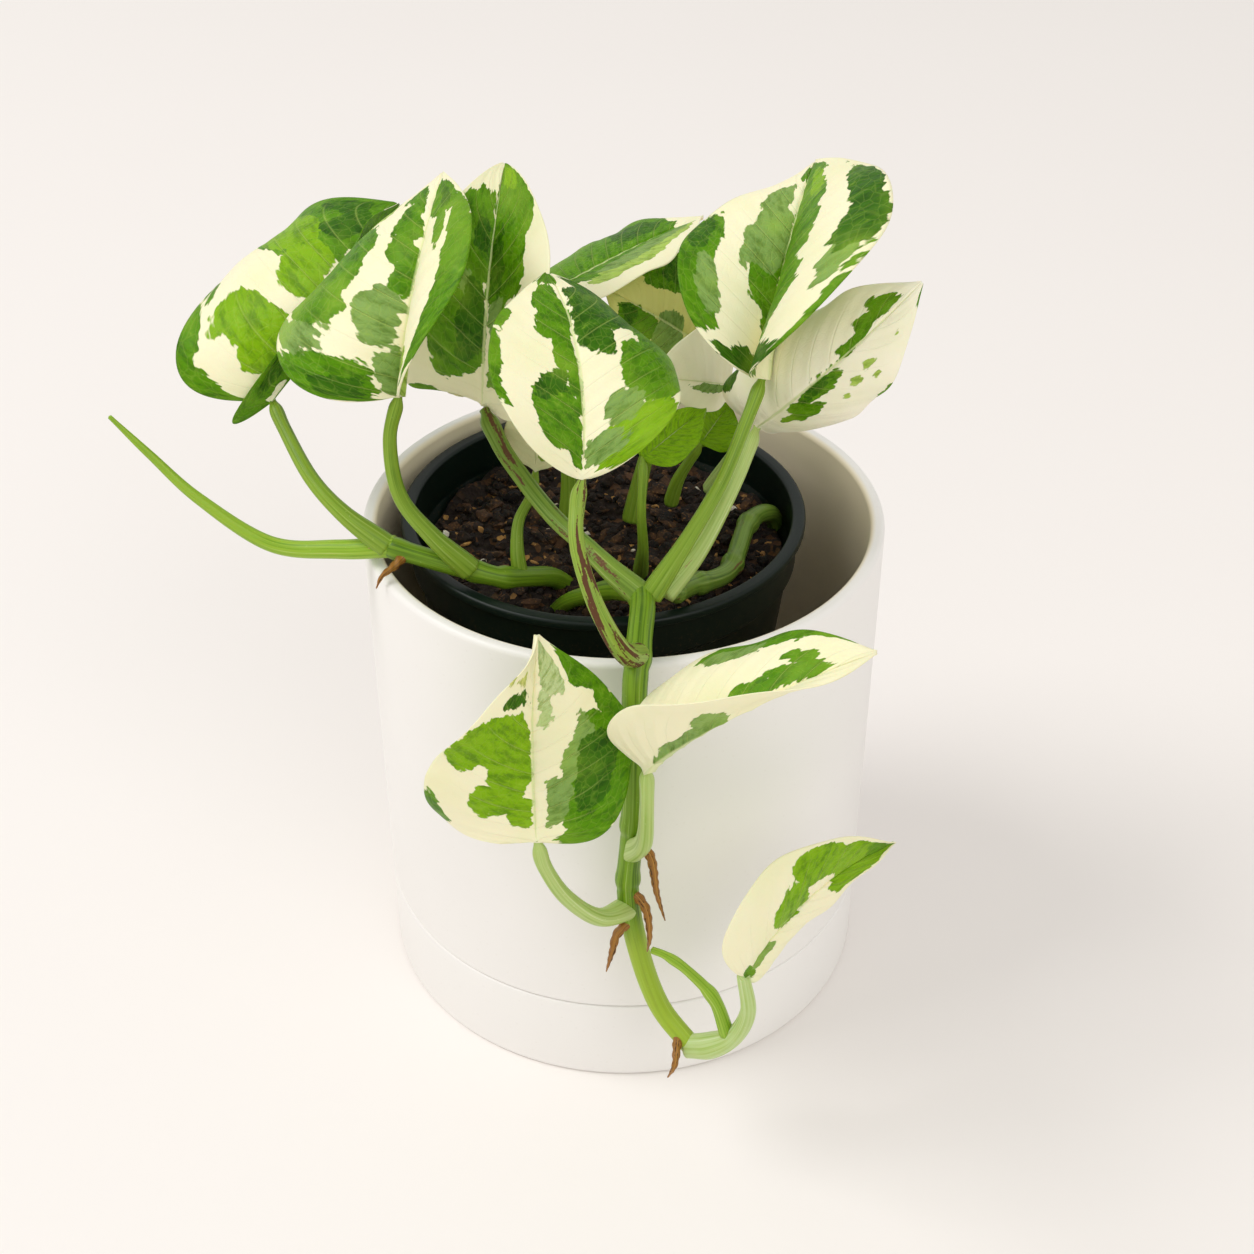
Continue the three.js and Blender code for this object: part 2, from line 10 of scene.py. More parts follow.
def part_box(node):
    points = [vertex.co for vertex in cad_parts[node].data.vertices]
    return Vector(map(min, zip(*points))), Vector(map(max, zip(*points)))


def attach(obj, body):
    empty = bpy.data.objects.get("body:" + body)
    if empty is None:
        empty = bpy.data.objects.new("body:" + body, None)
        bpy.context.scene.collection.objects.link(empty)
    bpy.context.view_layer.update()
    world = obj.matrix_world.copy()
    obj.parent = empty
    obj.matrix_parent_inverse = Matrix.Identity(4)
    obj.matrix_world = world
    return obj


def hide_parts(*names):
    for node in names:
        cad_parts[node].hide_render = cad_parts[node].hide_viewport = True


# A potted pothos: cream and green leaves on trailing vines, in a nursery pot inside a white planter.
# Metres, +Z up, -Y the front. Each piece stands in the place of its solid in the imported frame.
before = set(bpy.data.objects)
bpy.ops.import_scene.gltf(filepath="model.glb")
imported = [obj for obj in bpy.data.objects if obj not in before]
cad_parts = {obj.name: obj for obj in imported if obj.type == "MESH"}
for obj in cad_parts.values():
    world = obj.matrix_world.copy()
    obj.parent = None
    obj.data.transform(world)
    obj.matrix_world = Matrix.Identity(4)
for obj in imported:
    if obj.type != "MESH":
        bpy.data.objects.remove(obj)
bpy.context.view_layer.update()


# ---- Saucer ----------------------------------------------------------------------------------
# A shallow dish of white stoneware with a satin glaze. It is turned on the wheel, its edges are
# rounded by sponging, and it catches what drains from the planter above it.
SAUCER_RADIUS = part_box("saucer")[1][0]
SAUCER_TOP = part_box("saucer")[1][2]
SAUCER_WALL = 0.004
SAUCER_FLOOR = 0.004
# Depths inside the outer radius over which the painted bounce light fades in.
PAINTED_BOUNCE_DEPTHS = (0.002, 0.0034)
TURNED_STEPS = 192
AXIS_REACH = 1e-6


def rounded(corners, steps=6):
    """The outline through [radius, height, rounding] corners, with each corner turned into an arc."""
    outline = []
    for i, (r, z, rounding) in enumerate(corners):
        here = Vector((r, z))
        if rounding == 0:
            outline.append(here)
            continue
        before = (Vector(corners[i - 1][:2]) - here).normalized()
        after = (Vector(corners[(i + 1) % len(corners)][:2]) - here).normalized()
        half = before.angle(after) / 2
        centre = here + (before + after).normalized() * rounding / math.sin(half)
        first = here + before * rounding / math.tan(half) - centre
        last = here + after * rounding / math.tan(half) - centre
        sweep = first.angle_signed(last)
        for k in range(steps + 1):
            outline.append(centre + Matrix.Rotation(-sweep * k / steps, 2) @ first)
    return outline


def new_piece(name, vertices, faces, material, uv=None):
    """A smooth piece of the plant or pot, riding on the frame's one body. uv has one pair per vertex."""
    mesh = bpy.data.meshes.new(name)
    mesh.from_pydata([tuple(v) for v in vertices], [], [tuple(f) for f in faces])
    mesh.materials.append(material)
    mesh.shade_smooth()
    if uv is not None:
        layer = mesh.uv_layers.new(name="surface")
        for loop in mesh.loops:
            layer.data[loop.index].uv = uv[loop.vertex_index]
    mesh.validate()
    piece = bpy.data.objects.new(name, mesh)
    bpy.context.scene.collection.objects.link(piece)
    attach(piece, "root")
    return piece


def turned(name, outline, material, centre=(0, 0), steps=TURNED_STEPS):
    """A closed shell turned about a vertical axis. Points on the axis close it with a fan."""
    vertices, rings = [], []
    for r, z in outline:
        rings.append((len(vertices), r > AXIS_REACH))
        for k in range(steps if r > AXIS_REACH else 1):
            angle = 2 * math.pi * k / steps
            vertices.append((centre[0] + r * math.cos(angle), centre[1] + r * math.sin(angle), z))
    faces = []
    for i, (a, a_open) in enumerate(rings):
        b, b_open = rings[(i + 1) % len(rings)]
        for k in range(steps):
            n = (k + 1) % steps
            if a_open and b_open:
                faces.append((a + k, a + n, b + n, b + k))
            elif a_open:
                faces.append((a + k, a + n, b))
            elif b_open:
                faces.append((a, b + n, b + k))
    return new_piece(name, vertices, faces, material)


def linear(hex_colour):
    """A colour as a printer writes it, in the shader's linear light."""
    parts = [int(hex_colour[i:i + 2], 16) / 255 for i in (1, 3, 5)]
    return [p / 12.92 if p <= 0.04045 else ((p + 0.055) / 1.055) ** 2.4 for p in parts] + [1]


def new_material(name, **sockets):
    """A material with one Principled shader, its plain sockets set. Returns it, its tree and shader."""
    material = bpy.data.materials.new(name)
    material.use_nodes = True
    shader = material.node_tree.nodes["Principled BSDF"]
    for socket, value in sockets.items():
        shader.inputs[socket.replace("_", " ")].default_value = value
    return material, material.node_tree, shader


def add(tree, kind, **settings):
    """A new node, with its properties and its inputs set by name."""
    node = tree.nodes.new("ShaderNode" + kind)
    for key, value in settings.items():
        if hasattr(node, key):
            setattr(node, key, value)
        else:
            node.inputs[key.replace("_", " ")].default_value = value
    return node


def join(value, socket):
    """Feeds a socket: by a link if the value comes from another node, else as a plain setting."""
    if isinstance(value, bpy.types.NodeSocket):
        value.id_data.links.new(value, socket)
    else:
        socket.default_value = linear(value) if isinstance(value, str) else value


def fed(kind, values, sockets, **settings):
    """A node beside the values that come by link. Each value, linked or plain, goes to its socket."""
    tree = next(value.id_data for value in values if isinstance(value, bpy.types.NodeSocket))
    node = add(tree, kind, **settings)
    for value, socket in zip(values, sockets):
        join(value, node.inputs[socket])
    return node


def sums(operation, *values):
    """A Math node fed with links or plain numbers."""
    return fed("Math", values, range(3), operation=operation).outputs[0]


def between(factor, low, high):
    """A mask: 0 where the factor is at low, 1 at high, smooth in between."""
    return fed("MapRange", (factor, low, high), ("Value", "From Min", "From Max"),
               interpolation_type="SMOOTHSTEP", clamp=True).outputs["Result"]


def blend(factor, under, over, mode="MIX"):
    """One colour laid over another through a mask."""
    return fed("Mix", (factor, under, over), (0, 6, 7), data_type="RGBA", blend_type=mode).outputs[2]


def texture(kind, place, **settings):
    """A procedural texture read at a place."""
    return fed("Tex" + kind, (place,), ("Vector",), **settings).outputs


def split(vector):
    """The X, Y and Z of a vector, as three outputs."""
    return fed("SeparateXYZ", (vector,), (0,)).outputs


def own_place(tree):
    """The place of each point in the piece's own coordinates."""
    return add(tree, "TexCoord").outputs["Object"]


def emboss(shader, height, strength, distance):
    """Raises the shader's surface by a height that varies over it."""
    bump = add(shader.id_data, "Bump", Strength=strength, Distance=distance)
    join(height, bump.inputs["Height"])
    join(bump.outputs[0], shader.inputs["Normal"])


def new_group(name, inputs, outputs):
    """An empty shader group with (kind, name) sockets. Returns its tree and both of its ends."""
    tree = bpy.data.node_groups.new(name, "ShaderNodeTree")
    for in_out, sockets in (("INPUT", inputs), ("OUTPUT", outputs)):
        for kind, socket in sockets:
            tree.interface.new_socket(socket, in_out=in_out, socket_type="NodeSocket" + kind)
    return tree, tree.nodes.new("NodeGroupInput").outputs, tree.nodes.new("NodeGroupOutput").inputs


def use_group(tree, group, **values):
    """A group placed in a tree, fed with its own values. Returns its outputs."""
    node = add(tree, "Group", node_tree=group)
    for key, value in values.items():
        join(value, node.inputs[key.replace("_", " ")])
    return node.outputs


# Clouding: soft patches a few times the given scale, and a fine grain on top, from the piece's own
# coordinates. Glaze, plastic and stems all use it.
clouding, start, end = new_group(
    "clouding", [("Float", "Scale"), ("Float", "Grain")], [("Float", "Clouds"), ("Float", "Grain")])
place = own_place(clouding)
for scale, output, detail, roughness in (("Scale", "Clouds", 3, 0.55), ("Grain", "Grain", 2, 0.6)):
    cloud = fed("TexNoise", (place, start[scale]), ("Vector", "Scale"), Detail=detail, Roughness=roughness)
    join(cloud.outputs["Fac"], end[output])

white_glaze, tree, shader = new_material("white_glaze", IOR=1.5, Coat_IOR=1.5)
soft = use_group(tree, clouding, Scale=22, Grain=900)
speck = texture("Voronoi", own_place(tree), Scale=420)
pits = between(speck["Distance"], 0.16, 0.05)
glaze = blend(soft["Clouds"], "#f1eeea", "#f7f5f1")
glaze = blend(sums("MULTIPLY", pits, 0.1), glaze, "#cfc6b8")
# Inside the wall, a warm tint is painted on to stand for the bounce light that the interior catches.
flat = fed("VectorMath", (own_place(tree), (1, 1, 0)), (0, 1), operation="MULTIPLY")
from_axis = fed("VectorMath", flat.outputs[:1], (0,), operation="LENGTH")
painted_bounce_light = between(from_axis.outputs["Value"], *(SAUCER_RADIUS - depth for depth in PAINTED_BOUNCE_DEPTHS))
glaze = blend(painted_bounce_light, glaze, "#fff1d4")
join(glaze, shader.inputs["Base Color"])
dull = sums("MULTIPLY_ADD", soft["Clouds"], 0.16, 0.36)
join(dull, shader.inputs["Roughness"])
height = sums("MULTIPLY_ADD", soft["Clouds"], 6.0, soft["Grain"])
emboss(shader, height, 0.12, 0.0002)

saucer = turned("saucer_dish", rounded([
    (0, 0, 0),
    (SAUCER_RADIUS, 0, 0.0012),
    (SAUCER_RADIUS, SAUCER_TOP, 0.0006),
    (SAUCER_RADIUS - SAUCER_WALL, SAUCER_TOP, 0.0008),
    (SAUCER_RADIUS - SAUCER_WALL, SAUCER_FLOOR, 0.002),
    (0, SAUCER_FLOOR, 0),
]), white_glaze)
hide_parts("saucer")


# ---- Planter ---------------------------------------------------------------------------------
# A straight sleeve of the same stoneware and glaze, with a rounded rim, a drained floor and a foot
# ring that nests in the saucer. Its wall stands flush with the saucer's.
PLANTER_RADIUS = SAUCER_RADIUS
PLANTER_FOOT, PLANTER_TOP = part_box("planter")[0][2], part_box("planter")[1][2]
PLANTER_WALL = 0.0035
PLANTER_FLOOR = 0.004
PLANTER_FOOT_WALL = 0.005
PLANTER_DRAIN = 0.006
SEAT_GAP = 0.0003
FOOT_CLEARANCE = 0.0004
RIM_ROUND = 0.0014
planter_under = SAUCER_TOP + SEAT_GAP
foot_radius = PLANTER_RADIUS - SAUCER_WALL - FOOT_CLEARANCE

planter = turned("planter_sleeve", rounded([
    (PLANTER_DRAIN, planter_under, 0.0008),
    (foot_radius - PLANTER_FOOT_WALL, planter_under, 0.001),
    (foot_radius - PLANTER_FOOT_WALL, PLANTER_FOOT, 0.0012),
    (foot_radius, PLANTER_FOOT, 0.0012),
    (foot_radius, planter_under, 0.0002),
    (PLANTER_RADIUS, planter_under, 0.0006),
    (PLANTER_RADIUS, PLANTER_TOP, RIM_ROUND),
    (PLANTER_RADIUS - PLANTER_WALL, PLANTER_TOP, RIM_ROUND),
    (PLANTER_RADIUS - PLANTER_WALL, planter_under + PLANTER_FLOOR, 0.003),
    (PLANTER_DRAIN, planter_under + PLANTER_FLOOR, 0.0008),
]), white_glaze)
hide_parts("planter")


# ---- Nursery pot -----------------------------------------------------------------------------
# The grower's own pot: thin dark green polypropylene, thermoformed, with a stepped band and a
# rolled lip. It stands off centre in the planter and carries dried splashes of soil.
nursery_low, nursery_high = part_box("nursery_pot")
NURSERY_RIM = (nursery_high[0] - nursery_low[0]) / 2
NURSERY_CENTRE = ((nursery_low[0] + nursery_high[0]) / 2, (nursery_low[1] + nursery_high[1]) / 2)
NURSERY_BASE, NURSERY_TOP = nursery_low[2], nursery_high[2]
NURSERY_TAPER = 0.014
NURSERY_WALL = 0.0014
NURSERY_LIP = 0.002
NURSERY_BAND = 0.012
NURSERY_STEP = 0.0016
NURSERY_DRAIN = 0.005
band_foot = NURSERY_TOP - NURSERY_BAND
wall_top = NURSERY_RIM - NURSERY_LIP
below_band = wall_top - NURSERY_STEP

pot_green, tree, shader = new_material("pot_green", IOR=1.49, Specular_IOR_Level=0.3)
soft = use_group(tree, clouding, Scale=60, Grain=1600)
plastic = blend(soft["Clouds"], "#04110c", "#0a1d15")
high = split(own_place(tree))
splash = between(soft["Grain"], 0.56, 0.7)
inside_low = between(high["Z"], NURSERY_TOP - 0.002, NURSERY_TOP - 0.012)
dusty = sums("MULTIPLY", sums("MULTIPLY", splash, inside_low), 0.5)
join(blend(dusty, plastic, "#4a3a28"), shader.inputs["Base Color"])
join(sums("MULTIPLY_ADD", soft["Clouds"], 0.2, 0.3), shader.inputs["Roughness"])
emboss(shader, soft["Grain"], 0.15, 0.0001)

nursery = turned("nursery_pot_shell", rounded([
    (NURSERY_DRAIN, NURSERY_BASE, 0.0004),
    (NURSERY_RIM - NURSERY_TAPER, NURSERY_BASE, 0.002),
    (below_band, band_foot - NURSERY_STEP, 0.001),
    (wall_top, band_foot, 0.0008),
    (wall_top, NURSERY_TOP - NURSERY_LIP * 1.6, 0.0004),
    (NURSERY_RIM, NURSERY_TOP - NURSERY_LIP, 0.0004),
    (NURSERY_RIM, NURSERY_TOP, 0.0009),
    (wall_top - NURSERY_WALL, NURSERY_TOP, 0.0009),
    (wall_top - NURSERY_WALL, band_foot + NURSERY_WALL, 0.001),
    (below_band - NURSERY_WALL, band_foot - NURSERY_STEP, 0.001),
    (NURSERY_RIM - NURSERY_TAPER - NURSERY_WALL, NURSERY_BASE + NURSERY_WALL, 0.001),
    (NURSERY_DRAIN, NURSERY_BASE + NURSERY_WALL, 0.0004),
]), pot_green, NURSERY_CENTRE)
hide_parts("nursery_pot")


# ---- Soil ------------------------------------------------------------------------------------
# Damp, dark potting mix: a lumpy crumb of peat that fills the pot, with loose crumbs, chips of
# pine bark and coir, and a few grains of white perlite lying on and in its surface.
SOIL_DEPTH = 0.011
SOIL_LUMP = 0.0013
SOIL_CRUMB = 0.0011
SOIL_GAP = 0.0003
SCATTER_MARGIN = 0.003
SOIL_RINGS, SOIL_STEPS = 64, 160
soil_radius = below_band - NURSERY_WALL - SOIL_GAP * 2
soil_base_radius = NURSERY_RIM - NURSERY_TAPER - NURSERY_WALL - SOIL_GAP * 2


def soil_height(x, y):
    """The height of the soil x, y from the pot's middle: long swells, then crumbs."""
    mx, my = x * 1000, y * 1000
    swell = math.sin(mx * 0.31 + 1) * math.cos(my * 0.27) + 0.6 * math.sin(mx * 0.13 - my * 0.19)
    crumbs = noise.fractal(Vector((x, y, 0)) * 210, 0.7, 2.2, 4)
    return NURSERY_TOP - SOIL_DEPTH + SOIL_LUMP * swell + SOIL_CRUMB * crumbs


soil_mix, tree, shader = new_material("soil_mix", Roughness=0.95)
place = own_place(tree)
crumb = texture("Voronoi", place, Scale=620)
lump = texture("Noise", place, Scale=190, Detail=6, Roughness=0.7)
shade = add(tree, "SeparateColor")
join(crumb["Color"], shade.inputs[0])
earth = blend(lump["Fac"], "#080503", "#2c1b10")
earth = blend(between(shade.outputs[0], 0.72, 0.95), earth, "#553619")
earth = blend(between(shade.outputs[1], 0.94, 1.0), earth, "#b98a4d")
join(earth, shader.inputs["Base Color"])
emboss(shader, sums("ADD", lump["Fac"], crumb["Distance"]), 0.9, 0.0008)

vertices, faces = [], []
bottom = NURSERY_BASE + NURSERY_WALL + SOIL_GAP
rows = [(soil_base_radius, bottom), (soil_radius, band_foot - NURSERY_STEP)]
rows += [(soil_radius * i / SOIL_RINGS, None) for i in range(SOIL_RINGS, 0, -1)]
for radius, level in rows:
    for k in range(SOIL_STEPS):
        angle = 2 * math.pi * k / SOIL_STEPS
        x, y = radius * math.cos(angle), radius * math.sin(angle)
        z = soil_height(x, y) if level is None else level
        vertices.append((NURSERY_CENTRE[0] + x, NURSERY_CENTRE[1] + y, z))
for i in range(len(rows) - 1):
    for k in range(SOIL_STEPS):
        n = (k + 1) % SOIL_STEPS
        a, b = i * SOIL_STEPS, (i + 1) * SOIL_STEPS
        faces.append((a + k, a + n, b + n, b + k))
vertices += [(*NURSERY_CENTRE, soil_height(0, 0)), (*NURSERY_CENTRE, bottom)]
last = (len(rows) - 1) * SOIL_STEPS
for k in range(SOIL_STEPS):
    n = (k + 1) % SOIL_STEPS
    faces.append((last + k, last + n, len(vertices) - 2))
    faces.append((n, k, len(vertices) - 1))
soil = new_piece("soil_bed", vertices, faces, soil_mix)
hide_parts("soil")


def scattered(name, count, sizes, shape, material, seed, lift=0.25):
    """Loose lumps on the soil, as one piece: knobbly stones of (least, most) size, squashed by shape."""
    draw = random.Random(seed)
    form = bmesh.new()
    bmesh.ops.create_icosphere(form, subdivisions=2, radius=1)
    ball_points = [v.co.copy() for v in form.verts]
    ball_faces = [[v.index for v in f.verts] for f in form.faces]
    form.free()
    vertices, faces = [], []
    for _ in range(count):
        angle = draw.uniform(0, 2 * math.pi)
        reach = math.sqrt(draw.random()) * (soil_radius - SCATTER_MARGIN)
        x, y = reach * math.cos(angle), reach * math.sin(angle)
        size = draw.uniform(*sizes) * draw.choice((0.6, 0.8, 1, 1))
        turn = Matrix.Rotation(draw.uniform(0, 2 * math.pi), 3, "Z")
        turn = turn @ Matrix.Rotation(draw.uniform(-0.7, 0.7), 3, "X")
        turn = turn @ Matrix.Rotation(draw.uniform(-0.5, 0.5), 3, "Y")
        stretch = Matrix.Diagonal(Vector([size * s * draw.uniform(0.75, 1.25) for s in shape]))
        offset = Vector([draw.uniform(0, 90) for _ in range(3)])
        z = soil_height(x, y) + size * shape[2] * lift
        centre = Vector((NURSERY_CENTRE[0] + x, NURSERY_CENTRE[1] + y, z))
        first = len(vertices)
        for p in ball_points:
            knob = 1 + 0.55 * noise.noise(p * 1.3 + offset)
            vertices.append(centre + turn @ (stretch @ (p * knob)))
        faces += [[first + i for i in f] for f in ball_faces]
    piece = new_piece(name, vertices, faces, material)
    piece.data.shade_flat()


def loose_material(name, dark, light, fleck):
    """A crumb of one stuff: dark to light by its place, with fine flecks."""
    material, tree, shader = new_material(name, Roughness=0.9)
    broad = texture("Noise", own_place(tree), Scale=240, Detail=2)
    fine = texture("Noise", own_place(tree), Scale=1500, Detail=3)
    tone = between(broad["Fac"], 0.35, 0.65)
    colour = blend(tone, dark, light)
    flecks = between(fine["Fac"], 0.56, 0.7)
    join(blend(flecks, colour, fleck), shader.inputs["Base Color"])
    emboss(shader, fine["Fac"], 0.7, 0.0003)
    return material


peat = loose_material("peat_crumb", "#0b0603", "#27180d", "#452c17")
bark = loose_material("bark_chip", "#1c110a", "#4d321b", "#7b5730")
coir = loose_material("coir_fibre", "#7a552c", "#c08f50", "#d6ab6c")
perlite = loose_material("perlite_grain", "#cdbfa6", "#efe8da", "#fffdf7")
scattered("soil_crumbs", 900, (0.0006, 0.0019), (1, 0.9, 0.8), peat, 3)
scattered("bark_chips", 170, (0.0011, 0.003), (1.25, 0.8, 0.5), bark, 5)
scattered("coir_bits", 130, (0.0004, 0.0011), (1.6, 0.6, 0.5), coir, 8, lift=0.6)
scattered("perlite_grains", 34, (0.0005, 0.0011), (1, 0.9, 0.9), perlite, 13, lift=0.5)


# ---- Vines -----------------------------------------------------------------------------------
# The plant's main stems: smooth, waxy, a little ribbed along their length, swollen at each node
# where a leaf stalk leaves. The front one climbs over both rims and hangs down the planter.
VINE_RADIUS = 0.0032
VINE_END_RADIUS = 0.0026
PETIOLE_RADIUS = 0.002
PETIOLE_END_RADIUS = 0.0015
STEM_SIDES = 28
SEAM_REACH = 2e-6
END_DOME = 0.35
NODE_SPREAD = 0.0022


def smooth_path(points, pieces=24):
    """A uniform Catmull-Rom curve through points in millimetres, as metres, with lengths along it."""
    p = [Vector(q) / 1000 for q in points]
    p = [p[0] * 2 - p[1]] + p + [p[-1] * 2 - p[-2]]
    track = []
    for i in range(1, len(p) - 2):
        a, b, c, d = p[i - 1:i + 3]
        for k in range(pieces + (i == len(p) - 3)):
            t = k / pieces
            track.append(((2 * b) + (c - a) * t + (2 * a - 5 * b + 4 * c - d) * t ** 2
                          + (3 * b - a - 3 * c + d) * t ** 3) / 2)
    lengths = [0]
    for a, b in zip(track, track[1:]):
        lengths.append(lengths[-1] + (b - a).length)
    return track, lengths


def point_along(track, lengths, distance):
    """The place and direction at a distance along a track."""
    i = int(np.clip(np.searchsorted(lengths, distance) - 1, 0, len(track) - 2))
    step = lengths[i + 1] - lengths[i]
    share = (distance - lengths[i]) / step
    def direction(k):
        return (track[min(k + 1, len(track) - 1)] - track[max(k - 1, 0)]).normalized()
    heading = direction(i).lerp(direction(i + 1), min(max(share, 0), 1)).normalized()
    return track[i].lerp(track[i + 1], share), heading


def stem(name, node, points, radii, material, clear=(0, 0), shape=None, sides=STEM_SIDES, step=0.0007,
         up=(0.3, 0.9, 0.1)):
    """A closed tapered rod along a path. shape(distance, length, angle) scales the radius locally."""
    track, lengths = smooth_path(points)
    length = lengths[-1]
    rings = max(int((length - clear[0] - clear[1]) / step), 4)
    vertices, uv, faces = [], [], []
    side = None
    for i in range(rings + 1):
        distance = clear[0] + (length - clear[0] - clear[1]) * i / rings
        centre, heading = point_along(track, lengths, distance)
        if side is None:
            side = heading.cross(Vector(up))
        side = (side - heading * side.dot(heading)).normalized()
        other = heading.cross(side)
        radius = radii[0] + (radii[1] - radii[0]) * distance / length
        for k in range(sides + 1):
            angle = 2 * math.pi * k / sides
            r = radius * (shape(distance, length, angle) if shape else 1)
            vertices.append(centre + side * (r * math.cos(angle)) + other * (r * math.sin(angle)))
            uv.append((k / sides, distance * 10))
    span = sides + 1
    for i in range(rings):
        for k in range(sides):
            a = i * span + k
            faces.append((a, a + 1, a + 1 + span, a + span))
    for ring, flip in ((0, True), (rings, False)):
        centre, heading = point_along(track, lengths, clear[0] if flip else length - clear[1])
        radius = radii[0] if flip else radii[1]
        vertices.append(centre + heading * (-END_DOME if flip else END_DOME) * radius)
        uv.append((0.5, 0))
        tip = len(vertices) - 1
        for k in range(sides):
            a = ring * span + k
            faces.append((a + 1, a, tip) if flip else (a, a + 1, tip))
    piece = new_piece(name, vertices, faces, material, uv)
    join_seams(piece)
    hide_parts(node)


def join_seams(piece):
    """Welds the doubled points where a surface map starts and ends."""
    form = bmesh.new()
    form.from_mesh(piece.data)
    bmesh.ops.remove_doubles(form, verts=form.verts, dist=SEAM_REACH)
    bmesh.ops.recalc_face_normals(form, faces=form.faces)
    form.to_mesh(piece.data)
    form.free()


def noise_at(x, y, z, **settings):
    """A noise texture read at a place made of three linked numbers."""
    return texture("Noise", fed("CombineXYZ", (x, y, z), range(3)).outputs[0], Scale=1, **settings)


# Lengthwise streaks: pale and dark lines that run along a stem. The surface map's u goes round the
# stem and its v along it, so the group bends u into a ring first and the lines meet at the seam.
lengthwise, start, end = new_group(
    "lengthwise_streaks", [("Float", "Around"), ("Float", "Along"), ("Float", "Seed")],
    [("Float", "Streaks"), ("Float", "Patches")])
parts = split(add(lengthwise, "UVMap", uv_map="surface").outputs[0])
turn = sums("MULTIPLY", parts["X"], 2 * math.pi)
ring = [sums(kind, turn) for kind in ("COSINE", "SINE")]
for scale, output, around in ((start["Along"], "Streaks", start["Around"]), (6.0, "Patches", 1.2)):
    far = sums("ADD", sums("MULTIPLY", parts["Y"], scale), start["Seed"])
    lines = noise_at(*[sums("MULTIPLY", side, around) for side in ring], far, Detail=3, Roughness=0.6)
    join(lines["Fac"], end[output])


def stem_material(name, deep, light, pale, scar, scarred=0.0, seed=0.0, fresh_below=None):
    """Waxy stem skin: green streaks with pale lines, and corky brown scars over a share of it.
    Below the height fresh_below it is younger and brighter."""
    material, tree, shader = new_material(
        name, IOR=1.4, Subsurface_Weight=0.12, Subsurface_Scale=0.0015, Specular_IOR_Level=0.35,
        Coat_Weight=0.06, Coat_Roughness=0.35)
    streak = use_group(tree, lengthwise, Around=4.2, Along=2.2, Seed=seed)
    tone = between(streak["Streaks"], 0.3, 0.58)
    colour = blend(tone, deep, light)
    lines = between(streak["Streaks"], 0.6, 0.72)
    colour = blend(sums("MULTIPLY", lines, 0.6), colour, pale)
    soft = use_group(tree, clouding, Scale=90, Grain=1400)
    colour = blend(between(soft["Clouds"], 0.45, 0.7), colour,
                   blend(0.5, colour, light))
    if fresh_below:
        high = split(own_place(tree))
        fresh = between(high["Z"], fresh_below, fresh_below - 0.014)
        colour = blend(sums("MULTIPLY", fresh, 0.55), colour, "#b6cf3e")
    cork = sums("ADD", streak["Patches"],
                sums("MULTIPLY", soft["Grain"], 0.18))
    cork = between(cork, 0.82 - scarred, 0.86 - scarred)
    colour = blend(cork, colour, scar)
    dots = between(soft["Grain"], 0.68, 0.75)
    colour = blend(sums("MULTIPLY", dots, 0.3), colour, pale)
    join(colour, shader.inputs["Base Color"])
    rough = sums("MULTIPLY_ADD", cork, 0.35, 0.38)
    join(rough, shader.inputs["Roughness"])
    relief = sums("MULTIPLY_ADD", soft["Grain"], 0.3, streak["Streaks"])
    emboss(shader, relief, 0.35, 0.00022)
    return material


vine_skin = stem_material("vine_skin", "#46690c", "#789c22", "#b4cb72", "#8d6b3c", fresh_below=0.072)
young_skin = stem_material("young_skin", "#6f9a1c", "#98bb36", "#c8da84", "#a08a55", seed=4.0)
old_skin = stem_material("old_skin", "#456214", "#6f8c32", "#98ad60", "#6e4f2e", scarred=0.1, seed=9.0)
sheath_skin = stem_material("sheath_skin", "#a5c062", "#c0d490", "#e6eecb", "#a3905c", seed=15.0)


def noded(nodes_at, ribs=5, depth=0.012, swell=0.16, slender=0.0, until=0.04):
    """The shape of a ribbed stem with a swollen ring at each of the given distances, in metres.
    Its first stretch, until a distance, is thinner by the slender share."""
    def shape(distance, length, angle):
        scale = 0.94 + depth * math.cos(ribs * angle + distance * 40)
        scale *= 1 - slender * min(max(1.5 - distance / until, 0), 1)
        for at in nodes_at:
            away = (distance - at) / NODE_SPREAD
            scale += swell * math.exp(-away * away) - 0.06 * math.exp(-(away * 2.4 - 2.6) ** 2)
        return scale
    return shape


def clasped(distance, length, angle):
    """The vine's last stretch, in a sheath that is widest near its start."""
    swollen = 0.3 * math.exp(-((distance - 0.006) / 0.006) ** 2)
    return 1 + swollen + 0.06 * math.cos(3 * angle + distance * 90)


def rolled(distance, length, angle):
    """The rolled leaf: a lapped edge along it, and a neck before its point."""
    return (1 + 0.1 * math.cos(angle)) * (1 - 0.25 * math.exp(-((length - distance) / 0.006) ** 2))


stem("vine_front", "front_vine",
     [(-18.5, -19, 112), (-13.5, -24, 121), (-8, -28, 126), (-1, -35, 132.5), (4, -46, 138),
      (3.5, -62, 137.5), (2.5, -71, 131), (2.5, -74, 114), (2, -75, 94.5), (1, -75, 76), (3.5, -76, 58),
      (8.5, -79, 42.5), (16, -84, 34)],
     (VINE_RADIUS, VINE_END_RADIUS), vine_skin, (0, 0.0005),
     noded([0.0455, 0.066, 0.108, 0.1245], swell=0.14, slender=0.34, until=0.026))
stem("vine_front_end", "front_vine_end",
     [(16, -84, 34), (21, -86, 36.5), (26, -89, 43), (28.5, -91, 53.5), (27, -92, 66)],
     (VINE_END_RADIUS, PETIOLE_END_RADIUS), sheath_skin, (-0.001, 0), clasped)
stem("vine_left", "left_vine",
     [(-12, -8, 113), (-17, -15, 122), (-22, -22, 127), (-28.5, -28, 131), (-35.5, -28, 133),
      (-45, -27, 135.5), (-55, -24, 137)],
     (0.0026, 0.0025), vine_skin, (0, 0), noded([0.031, 0.0385, 0.0575]))
